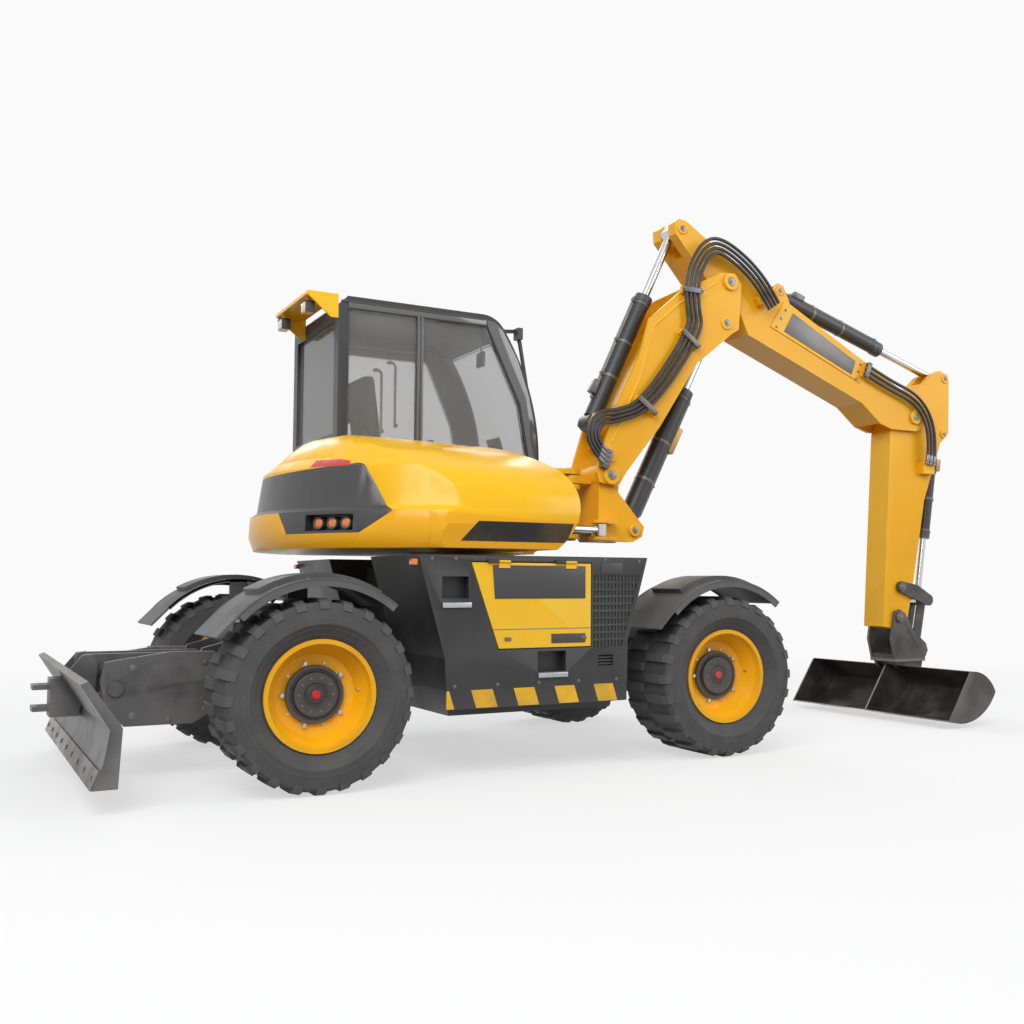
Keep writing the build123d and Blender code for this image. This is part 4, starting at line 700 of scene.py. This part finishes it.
def cover_trim():
    """Blank plates, seam and latches of the engine cover."""
    plates = bmesh.new()
    add_plate(plates, [(-322, 1003), (-337, 1192), (264, 1192), (264, 1003)], -POD_Y - 4, -POD_Y, 1.2)
    add_plate(plates, [(39, 745), (39, 799), (265, 799), (265, 745)], -POD_Y - 3.5, -POD_Y, 1.0)
    make_piece("cover_plates", plates, "grey_paint", "engine_cover")
    box_piece("cover_seam", "steel_black", "engine_cover",
              ((-329.0, -POD_Y - 1.7, 827.0), (301.5, -POD_Y, 832.0)))
    box_piece("cover_latches", "steel_black", "engine_cover",
              *(((x - 20, -POD_Y - 7.5, 765.0), (x + 20, -POD_Y, 785.0), 3.0) for x in (-240.0, 250.0)))


pod_trim()
cover_trim()


# Tail lamps

TAIL_LAMP_TURN = 33.0
TAIL_LAMP_Z = 1428.0
TAIL_LAMP_FACE = 1314.0
TAIL_LAMPS = (-98.0, 0.0, 98.0)


def tail_lamps():
    lenses = bmesh.new()
    rims = bmesh.new()
    middle = (0.0, 0.0, 0.0)
    quarter = Matrix.Rotation(radians(-90.0), 4, "Z")
    for side in (1, -1):
        for across in TAIL_LAMPS:
            lens = bmesh.new()
            ring = bmesh.new()
            add_turned(lens, [(0, -6), (28, -6), (28, 12), (21, 17), (0, 19)], middle, 28)
            add_ring(ring, [(28, -12), (38, -12), (38, 14), (35, 18), (28, 15)], middle, 28)
            turn = Matrix.Rotation(radians(180.0 + TAIL_LAMP_TURN * side), 4, "Z")
            place = turn @ (Matrix.Translation((TAIL_LAMP_FACE, across, TAIL_LAMP_Z)) @ quarter)
            join_part(lenses, lens, place)
            join_part(rims, ring, place)
    make_piece("tail_lenses", lenses, "amber_lens", "upper")
    make_piece("tail_lamp_rims", rims, "grey_paint", "upper")


tail_lamps()


# Cab

ROOF_EDGES = (12.0, 1049.0)
BAND_SIDES = (15.0, 21.0)
MULLIONS = (-331.0, -306.0)
GRAB_RAILS = ((-453.0, 2520.0, 2125.0), (-548.0, 2462.0, 2080.0))
RAIL_Y = 96.0
WORK_LAMPS = (115.0, 685.0)


def window_bands():
    """Dark bands on the right side's glass: round the front, under the roof and down the mullion."""
    band = bmesh.new()
    front = [(512.0, 1900.0), (562.0, 1905.0), (556.0, 2130.0), (497.0, 2400.0), (410.0, 2640.0),
             (292.0, 2838.0), (238.0, 2888.0), (176.0, 2896.0), (176.0, 2858.0), (432.0, 2332.0)]
    top = [(-800.0, 2858.0), (-800.0, 2896.0), (168.0, 2896.0), (168.0, 2858.0)]
    for outline in (front, top):
        add_plate(band, outline, *BAND_SIDES, 1.0)
    for x in MULLIONS:
        add_box(band, (x, BAND_SIDES[0], 1850.0), (x + 17, BAND_SIDES[1], 2857.0), 1.0)
    make_piece("glass_bands", band, "glass_edge", "upper")


def cab_trim():
    """Rails, mirror, screen, work lamps and headrest."""
    rails = bmesh.new()
    for x, top, low in GRAB_RAILS:
        line = ((x - 48, top + 22), (x - 12, top + 22), (x, top), (x, low))
        for a, b in zip(line, line[1:]):
            add_rod(rails, (a[0], RAIL_Y, a[1]), (b[0], RAIL_Y, b[1]), 9.0, 12)
        for spot in (line[0], line[-1]):
            add_rod(rails, (spot[0], RAIL_Y - 32, spot[1]), (spot[0], RAIL_Y + 2, spot[1]), 12.0, 12)
    make_piece("grab_rails", rails, "steel_black", "upper")
    mirror = bmesh.new()
    add_rod(mirror, (178.0, 130.0, 2885.0), (182.0, 130.0, 2690.0), 5.0, 10)
    add_box(mirror, (170.0, 78.0, 2590.0), (190.0, 190.0, 2692.0), 5.0)
    make_piece("inside_mirror", mirror, "cab_plastic", "upper")
    screen = bmesh.new()
    add_box(screen, (318.0, 110.0, 1985.0), (340.0, 300.0, 2110.0), 5.0,
            Matrix.Rotation(radians(-18), 3, "Y"))
    add_rod(screen, (345.0, 205.0, 1820.0), (332.0, 205.0, 2000.0), 11.0, 12)
    make_piece("screen", screen, "cab_plastic", "upper")
    box_piece("work_lamp_lenses", "clear_lens", "upper",
              *(((-1071.0, y - 38, 2818.0), (-1063.0, y + 38, 2876.0), 2.5) for y in WORK_LAMPS))
    hoods = bmesh.new()
    for y in WORK_LAMPS:
        add_box(hoods, (-1072.0, y - 48, 2876.0), (-1006.0, y + 48, 2884.0), 1.5)
        for edge_y in (y - 48, y + 44):
            add_box(hoods, (-1066.0, edge_y, 2810.0), (-1006.0, edge_y + 4, 2884.0), 1.0)
    make_piece("work_lamp_hoods", hoods, "cab_plastic", "upper")
    box_piece("headrest", "seat_fabric", "upper", ((-660.0, 440.0, 2190.0), (-585.0, 630.0, 2330.0), 22.0))


def door_trim():
    latch = bmesh.new()
    add_box(latch, (300.0, 1048.0, 1700.0), (380.0, 1062.0, 1760.0), 5.0)
    add_rod(latch, (318.0, 1072.0, 1724.0), (365.0, 1072.0, 1724.0), 7.0, 12)
    add_rod(latch, (322.0, 1050.0, 1724.0), (322.0, 1073.0, 1724.0), 6.0, 12)
    make_piece("door_latch", latch, "cab_plastic", "door")


box_piece("roof_gutters", "cab_plastic", "upper",
          *(((-850.0, y, 2893.0), (150.0, y + 9, 2905.0), 2.0) for y in ROOF_EDGES))
window_bands()
cab_trim()
door_trim()


def settle(piece):
    """Gives a piece the mesh that its modifiers make."""
    bpy.context.view_layer.update()
    made = bpy.data.meshes.new_from_object(piece.evaluated_get(bpy.context.evaluated_depsgraph_get()))
    piece.modifiers.clear()
    piece.data = made


def swell(piece, cap):
    """Inflates a closed pad a little with a short cloth run, each point moved by no more than cap."""
    remesh = piece.modifiers.new("even_mesh", "REMESH")
    remesh.mode = "VOXEL"
    remesh.voxel_size = PAD_GRID
    settle(piece)
    start = [vert.co.copy() for vert in piece.data.vertices]
    cloth = piece.modifiers.new("swelling", "CLOTH")
    cloth.settings.use_pressure = True
    cloth.settings.uniform_pressure_force = PAD_PRESSURE
    cloth.settings.effector_weights.gravity = 0.0
    for step in range(1, PAD_STEPS + 1):
        bpy.context.scene.frame_set(step)
    settle(piece)
    for vert, home in zip(piece.data.vertices, start):
        away = vert.co - home
        if away.length > cap:
            vert.co = home + away * (cap / away.length)
    bpy.context.scene.frame_set(1)


PAD_GRID = 0.009
PAD_PRESSURE = 4.0
PAD_STEPS = 20
PAD_SWELL = 0.008
SEAT_PADS = (
    # name, two corners, lean in degrees
    ("cushion", (-545.0, 335.0, 1762.0), (-85.0, 735.0, 1850.0), 0.0),
    ("back", (-560.0, 335.0, 1890.0), (-470.0, 735.0, 2502.0), -8.0),
)


def seat_pads():
    """Padded cushion and backrest."""
    for name, low, high, lean in SEAT_PADS:
        shape = bmesh.new()
        add_box(shape, low, high, 26.0, Matrix.Rotation(radians(lean), 3, "Y"))
        pad = make_piece(f"seat_{name}_pad", shape, "seat_fabric", angle=PAD_SHARP_ANGLE)
        swell(pad, PAD_SWELL)
        pad.data.shade_smooth()
        pad.data.materials.clear()
        pad.data.materials.append(finishes["seat_fabric"])
        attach(pad, "upper")
        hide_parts(f"seat_{name}")


seat_pads()


# Pins, plates, bolts and weld beads of the arm

BOOM_Y = -100.0
LOWER_BOOM_SIDE = 200.0
UPPER_BOOM_SIDE = 158.0
PLATE_BOLTS = ((2592.0, 3222.0), (2546.0, 3150.0), (2500.0, 3080.0), (3372.0, 2876.0), (3348.0, 2814.0),
               (3324.0, 2752.0))
BLANK_PLATE = ((2664.0, 3206.0), (3316.0, 2894.0), (3272.0, 2782.0), (2572.0, 3050.0))
WELD_LINE = ((985.0, 2075.0), (1215.0, 2540.0), (1330.0, 2930.0), (1560.0, 3130.0), (1900.0, 3330.0))
PINS = (
    # name, X, Z, boss radius, near and far distance from the arm's middle, body, finish
    ("boom_foot", 980.0, 1840.0, 64.0, 207.0, 222.0, "kingpost", "arm_paint"),
    ("elbow", 2020.0, 3350.0, 64.0, 207.0, 222.0, "lower_boom", "arm_paint"),
    ("lift_eye", 1985.0, 3035.0, 50.0, 199.0, 211.0, "lower_boom", "arm_paint"),
    ("dipper_pivot", 3985.0, 2490.0, 58.0, 157.0, 172.0, "upper_boom", "arm_paint"),
    ("bucket_pivot", 3795.0, 820.0, 44.0, 149.0, 162.0, "bucket", "steel_black"),
    ("lever_pivot", 3830.0, 1068.0, 38.0, 141.0, 153.0, "dipper", "steel_black"),
    ("lift_foot", 1195.0, 1465.0, 44.0, 166.0, 180.0, "kingpost", "arm_paint"),
    ("tab_foot", 925.0, 2230.0, 40.0, 98.0, 110.0, "lower_boom", "arm_paint"),
    ("tab_eye", 1620.0, 3705.0, 42.0, 149.0, 160.0, "upper_boom", "arm_paint"),
    ("dipper_foot", 2585.0, 3385.0, 38.0, 92.0, 104.0, "upper_boom", "arm_paint"),
    ("dipper_eye", 4390.0, 2865.0, 40.0, 111.0, 123.0, "dipper", "arm_paint"),
    ("bucket_foot", 4365.0, 2380.0, 36.0, 113.0, 126.0, "dipper", "arm_paint"),
)


def pin_ends(name, x, z, radius, near, far, body, finish_name):
    """A cap with the pin's head and its bolt on both ends of a pin."""
    caps = bmesh.new()
    bolts = bmesh.new()
    profile = [(0, near - 4), (radius, near - 4), (radius, far - 4), (radius - 4, far), (radius * 0.55, far),
               (radius * 0.5, far - 4), (0, far - 4)]
    for side in (1, -1):
        add_turned(caps, [(r, BOOM_Y + y * side) for r, y in profile], (x, 0.0, z), 36)
        face = BOOM_Y + (far - 4) * side
        add_rod(bolts, (x, face, z), (x, face + 5 * side, z), radius * 0.5, 28, bevel=1.0)
        add_bolt(bolts, (x, face + 4 * side, z), (0, side, 0), radius * 0.2, 7.0)
    make_piece(f"pin_caps_{name}", caps, finish_name, body)
    make_piece(f"pin_bolts_{name}", bolts, "worn_steel", body)


def boom_plates():
    """Plate bolts and blank plates on the upper boom, weld beads along the lower one."""
    bolts = bmesh.new()
    plates = bmesh.new()
    beads = bmesh.new()
    for x, z in PLATE_BOLTS:
        for side in (1, -1):
            add_bolt(bolts, (x, BOOM_Y + UPPER_BOOM_SIDE * side, z), (0, side, 0), 9.0, 8.0)
    for side in (1, -1):
        y = BOOM_Y + UPPER_BOOM_SIDE * side
        add_plate(plates, BLANK_PLATE, *sorted((y - side, y + 3 * side)), 1.2)
        y = BOOM_Y + LOWER_BOOM_SIDE * side
        for a, b in zip(WELD_LINE, WELD_LINE[1:]):
            add_rod(beads, (a[0], y, a[1]), (b[0], y, b[1]), 7.0, 8)
    make_piece("side_plate_bolts", bolts, "worn_steel", "upper_boom")
    make_piece("blank_plates", plates, "steel_black", "upper_boom")
    make_piece("plate_welds", beads, "arm_paint", "lower_boom")


for row in PINS:
    pin_ends(*row)
boom_plates()


# Rams: pipes, straps, wipers, the bright sleeves of the rods and valve blocks

RAMS = (
    # name, foot, eye, barrel radius, rod radius, eye radius, distance of the head, side of the pipe, and the
    # valve block's distance, half length and finish
    ("lift", (1195.0, 1465.0), (1985.0, 3035.0), 72.0, 36.0, 66.0, 1190.0, -1, 812.0, 105.0, "brass_block"),
    ("tab", (925.0, 2230.0), (1620.0, 3705.0), 62.0, 32.0, 60.0, 1060.0, 1, 250.0, 52.0, "steel_black"),
    ("dipper", (2585.0, 3385.0), (4390.0, 2865.0), 56.0, 30.0, 54.0, 1180.0, 1, 250.0, 52.0, "steel_black"),
    ("bucket", (4365.0, 2380.0), (4140.0, 960.0), 48.0, 26.0, 48.0, 905.0, 1, 250.0, 52.0, "brass_block"),
)
PIPE_START = 170.0
PIPE_OUT = 13.0
STRAP_SHARES = (0.35, 0.62)
SLEEVE_THICK = 1.2


def ram_fittings(name, foot, eye, radius, rod, eye_radius, head, way, block_at, block_half, block_finish):
    length = hypot(eye[0] - foot[0], eye[1] - foot[1])
    run = Vector(((eye[0] - foot[0]) / length, 0.0, (eye[1] - foot[1]) / length))
    out = Vector((-run.z, 0.0, run.x)) * way
    base = Vector((foot[0], BOOM_Y, foot[1]))
    barrel = f"{name}_barrel"

    def at(along, away=0.0):
        return base + run * along + out * away

    pipe = bmesh.new()
    line = radius + PIPE_OUT
    add_rod(pipe, at(PIPE_START, line), at(head - 40, line), 8.0, 12)
    for along in (head - 40, PIPE_START):
        add_rod(pipe, at(along, line), at(along, radius - 4), 10.0, 12)
    make_piece(f"{name}_ram_pipe", pipe, "steel_black", barrel)
    straps = bmesh.new()
    for along in (*(head * share for share in STRAP_SHARES), head - 64):
        add_band(straps, at(along), run, radius - 3, radius + 2.5, 11)
        add_block(straps, at(along, radius + 8), (13, 15, 13), 3.0)
    make_piece(f"{name}_ram_straps", straps, "steel_black", barrel)
    wiper = bmesh.new()
    add_rod(wiper, at(head - 6), at(head + 8), radius * 0.78, 32, bevel=2.0)
    make_piece(f"{name}_ram_wiper", wiper, "bright_steel", barrel)
    sleeve = bmesh.new()
    add_rod(sleeve, at(head - 30), at(length - eye_radius + 6), rod + SLEEVE_THICK, 48)
    make_piece(f"{name}_ram_chrome", sleeve, "rod_chrome", f"{name}_rod")
    block = bmesh.new()
    add_block(block, at(block_at, radius + 22), (block_half, 30.0, 24.0), 5.0,
              run.to_track_quat("X", "Z").to_matrix())
    make_piece(f"{name}_ram_block", block, block_finish, barrel)


for row in RAMS:
    ram_fittings(*row)


# Hoses: the corners are those of the routes in the part's source

HOSE_RADIUS = 13.0
BOOM_HOSE_Y = -336.0
BOOM_HOSE_LINE = ((1257.0, 2347.0), (1690.0, 2950.0), (1650.0, 3110.0), (1650.0, 3350.0), (1790.0, 3588.0),
                  (1960.0, 3600.0), (2290.0, 3395.0), (2412.0, 3210.0))
# Each hose's shift from the line, and the radius of its loop at the arm's foot
BOOM_HOSES = ((54.0, 190.0), (18.0, 160.0), (-18.0, 130.0), (-54.0, 100.0))
LOOP_CENTRE = (950.0, 2110.0)
LOOP_TURNS = (250.0, 205.0, 160.0, 115.0, 75.0)
DIPPER_HOSE_Y = -290.0
DIPPER_HOSE_LINE = ((3400.0, 2832.0), (3650.0, 2730.0), (3960.0, 2645.0), (4115.0, 2480.0), (4150.0, 2260.0),
                    (4128.0, 2112.0))
DIPPER_HOSES = (40.0, 0.0, -40.0)
HOSE_STRAPS = (
    # name, place, turn in degrees, half length along and across the hoses, body
    ("boom_low", (1257.0, BOOM_HOSE_Y, 2347.0), 54.0, 20.0, 92.0, "lower_boom"),
    ("boom_high", (1632.0, BOOM_HOSE_Y, 2868.0), 54.0, 20.0, 92.0, "lower_boom"),
    ("elbow", (1650.0, BOOM_HOSE_Y, 3230.0), 90.0, 20.0, 84.0, "lower_boom"),
    ("upper", (3415.0, DIPPER_HOSE_Y, 2826.0), -22.0, 22.0, 64.0, "upper_boom"),
)


def beside(points, shift):
    """Corners of a line moved sideways by shift, to the left of its run."""
    runs = []
    for a, b in zip(points, points[1:]):
        length = hypot(b[0] - a[0], b[1] - a[1])
        runs.append(((b[0] - a[0]) / length, (b[1] - a[1]) / length))
    moved = []
    for i, (x, z) in enumerate(points):
        before = runs[max(i - 1, 0)]
        after = runs[min(i, len(runs) - 1)]
        away = (-before[1] - after[1], before[0] + after[0])
        scale = shift * 2 / (away[0] ** 2 + away[1] ** 2)
        moved.append((x + away[0] * scale, z + away[1] * scale))
    return moved


def loop_corners(radius):
    """Corners of a hose's loop at the arm's foot, from its fitting on."""
    return [(LOOP_CENTRE[0] + radius * cos(radians(turn)), BOOM_HOSE_Y,
             LOOP_CENTRE[1] + radius * sin(radians(turn))) for turn in LOOP_TURNS]


def hose_bundle(name, routes):
    """Smooth round hoses, one spline for each route of corners, as one object."""
    curve = bpy.data.curves.new(name, "CURVE")
    curve.dimensions = "3D"
    curve.bevel_depth = HOSE_RADIUS / 1000
    curve.bevel_resolution = 3
    curve.use_fill_caps = True
    for corners in routes:
        line = curve.splines.new("NURBS")
        line.points.add(len(corners) - 1)
        for point, corner in zip(line.points, corners):
            point.co = (*(TO_ROW @ Vector(corner)), 1.0)
        line.order_u = 3
        line.use_endpoint_u = True
        line.resolution_u = 10
    holder = add_object(name + "_line", curve)
    bpy.context.view_layer.update()
    mesh = bpy.data.meshes.new_from_object(holder)
    bpy.data.objects.remove(holder)
    bpy.data.curves.remove(curve)
    mesh.name = name
    mesh.materials.clear()
    mesh.materials.append(finishes["hose_rubber"])
    mesh.shade_smooth()
    return add_object(name, mesh)


def lay_hoses():
    routes = [loop_corners(loop) + [(x, BOOM_HOSE_Y, z) for x, z in beside(BOOM_HOSE_LINE, shift)]
              for shift, loop in BOOM_HOSES]
    bundle = hose_bundle("boom_hose_bundle", routes)
    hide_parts("boom_hoses")
    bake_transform(bundle)
    routes = [[(x, DIPPER_HOSE_Y, z) for x, z in beside(DIPPER_HOSE_LINE, shift)] for shift in DIPPER_HOSES]
    bundle = hose_bundle("dipper_hose_bundle", routes)
    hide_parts("dipper_hoses")
    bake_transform(bundle)


def hose_strap(name, place, turn, half_along, half_across, body):
    """Flat bar over the hoses on two bolted posts."""
    strap = bmesh.new()
    spin = Matrix.Rotation(radians(-turn), 3, "Y")
    place = Vector(place)
    add_block(strap, place - Vector((0.0, HOSE_RADIUS + 3, 0.0)), (half_along, 3.0, half_across), 2.0, spin)
    for way in (1, -1):
        post = place + spin @ Vector((0.0, 0.0, way * (half_across - 8)))
        add_block(strap, post, (half_along - 4, HOSE_RADIUS, 6.0), 1.5, spin)
        add_bolt(strap, post - Vector((0.0, HOSE_RADIUS + 5, 0.0)), (0, -1, 0), 8.0, 8.0)
    make_piece(f"hose_strap_{name}", strap, "steel_black", body)


def hose_ends():
    """Ferrules on the loose ends, and the valve that the boom hoses start from."""
    ferrules = bmesh.new()
    for shift in DIPPER_HOSES:
        (xa, za), (xb, zb) = beside(DIPPER_HOSE_LINE, shift)[-2:]
        run = Vector((xb - xa, 0.0, zb - za)).normalized()
        end = Vector((xb, DIPPER_HOSE_Y, zb))
        add_rod(ferrules, end - run * 60, end + run * 4, 17.0, 16, bevel=2.0)
        add_rod(ferrules, end, end + run * 16, 15.0, 6)
    make_piece("dipper_hose_ends", ferrules, "worn_steel", "dipper")
    ferrules = bmesh.new()
    ends = []
    for shift, loop in BOOM_HOSES:
        a, b = [Vector(corner) for corner in loop_corners(loop)[:2]]
        run = (a - b).normalized()
        add_rod(ferrules, a - run * 40, a + run * 12, 17.0, 16, bevel=2.0)
        ends.append(a + run * 36)
    make_piece("foot_hose_ends", ferrules, "worn_steel", "lower_boom")
    valve = bmesh.new()
    across = ends[-1] - ends[0]
    spin = Matrix.Rotation(-atan2(across.z, across.x), 3, "Y")
    middle = (ends[0] + ends[-1]) / 2 + Vector((0.0, 6.0, 0.0))
    add_block(valve, middle, (across.length / 2 + 24, 24.0, 26.0), 4.0, spin)
    for end in ends:
        add_bolt(valve, end - Vector((0.0, 17.0, 0.0)), (0, -1, 0), 8.0, 8.0)
    make_piece("foot_valve", valve, "steel_black", "lower_boom")


lay_hoses()
for row in HOSE_STRAPS:
    hose_strap(*row)
hose_ends()


# Blade, bucket and slew ring

BLADE_EDGE = ((-2387.0, 127.0), (-2379.0, 127.0), (-2343.0, 216.0), (-2353.0, 219.0))
BUCKET_LIP = ((3527.0, 57.0), (3538.0, 66.0), (3650.0, 50.0), (3650.0, 38.5))
BLADE_ARM_BOLTS = ((-1700.0, 640.0), (-1700.0, 380.0), (-2080.0, 620.0), (-2080.0, 360.0), (-1890.0, 330.0))
BLADE_ARM_SIDE = 301.0
RING_BOLTS = 28
RING_BOLT_CIRCLE = 452.0


def ground_tools():
    """Cutting edges of the blade and the bucket, and the bolts of the blade's arm."""
    edge = bmesh.new()
    add_plate(edge, BLADE_EDGE, -1244.0, 1244.0, 1.5)
    for i in range(9):
        add_bolt(edge, (-2371.0, -1160 + i * 290, 172.0), (-0.92, 0.0, 0.38), 11.0, 7.0)
    make_piece("blade_edge", edge, "worn_steel", "blade")
    lip = bmesh.new()
    add_plate(lip, BUCKET_LIP, -998.0, 798.0, 1.5)
    make_piece("bucket_lip", lip, "worn_steel", "bucket")
    bolts = bmesh.new()
    for side in (-1, 1):
        for x, z in BLADE_ARM_BOLTS:
            add_bolt(bolts, (x, BLADE_ARM_SIDE * side, z), (0, side, 0), 12.0, 9.0)
    make_piece("blade_arm_bolts", bolts, "worn_steel", "blade_arm")


def ring_bolts():
    bolts = bmesh.new()
    for i in range(RING_BOLTS):
        turn = 2 * pi * i / RING_BOLTS
        x, y = RING_BOLT_CIRCLE * cos(turn), RING_BOLT_CIRCLE * sin(turn)
        add_rod(bolts, (x, y, 1188.0), (x, y, 1204.0), 12.0, 6)
    make_piece("turret_bolts", bolts, "bright_steel", "chassis")


ground_tools()
ring_bolts()
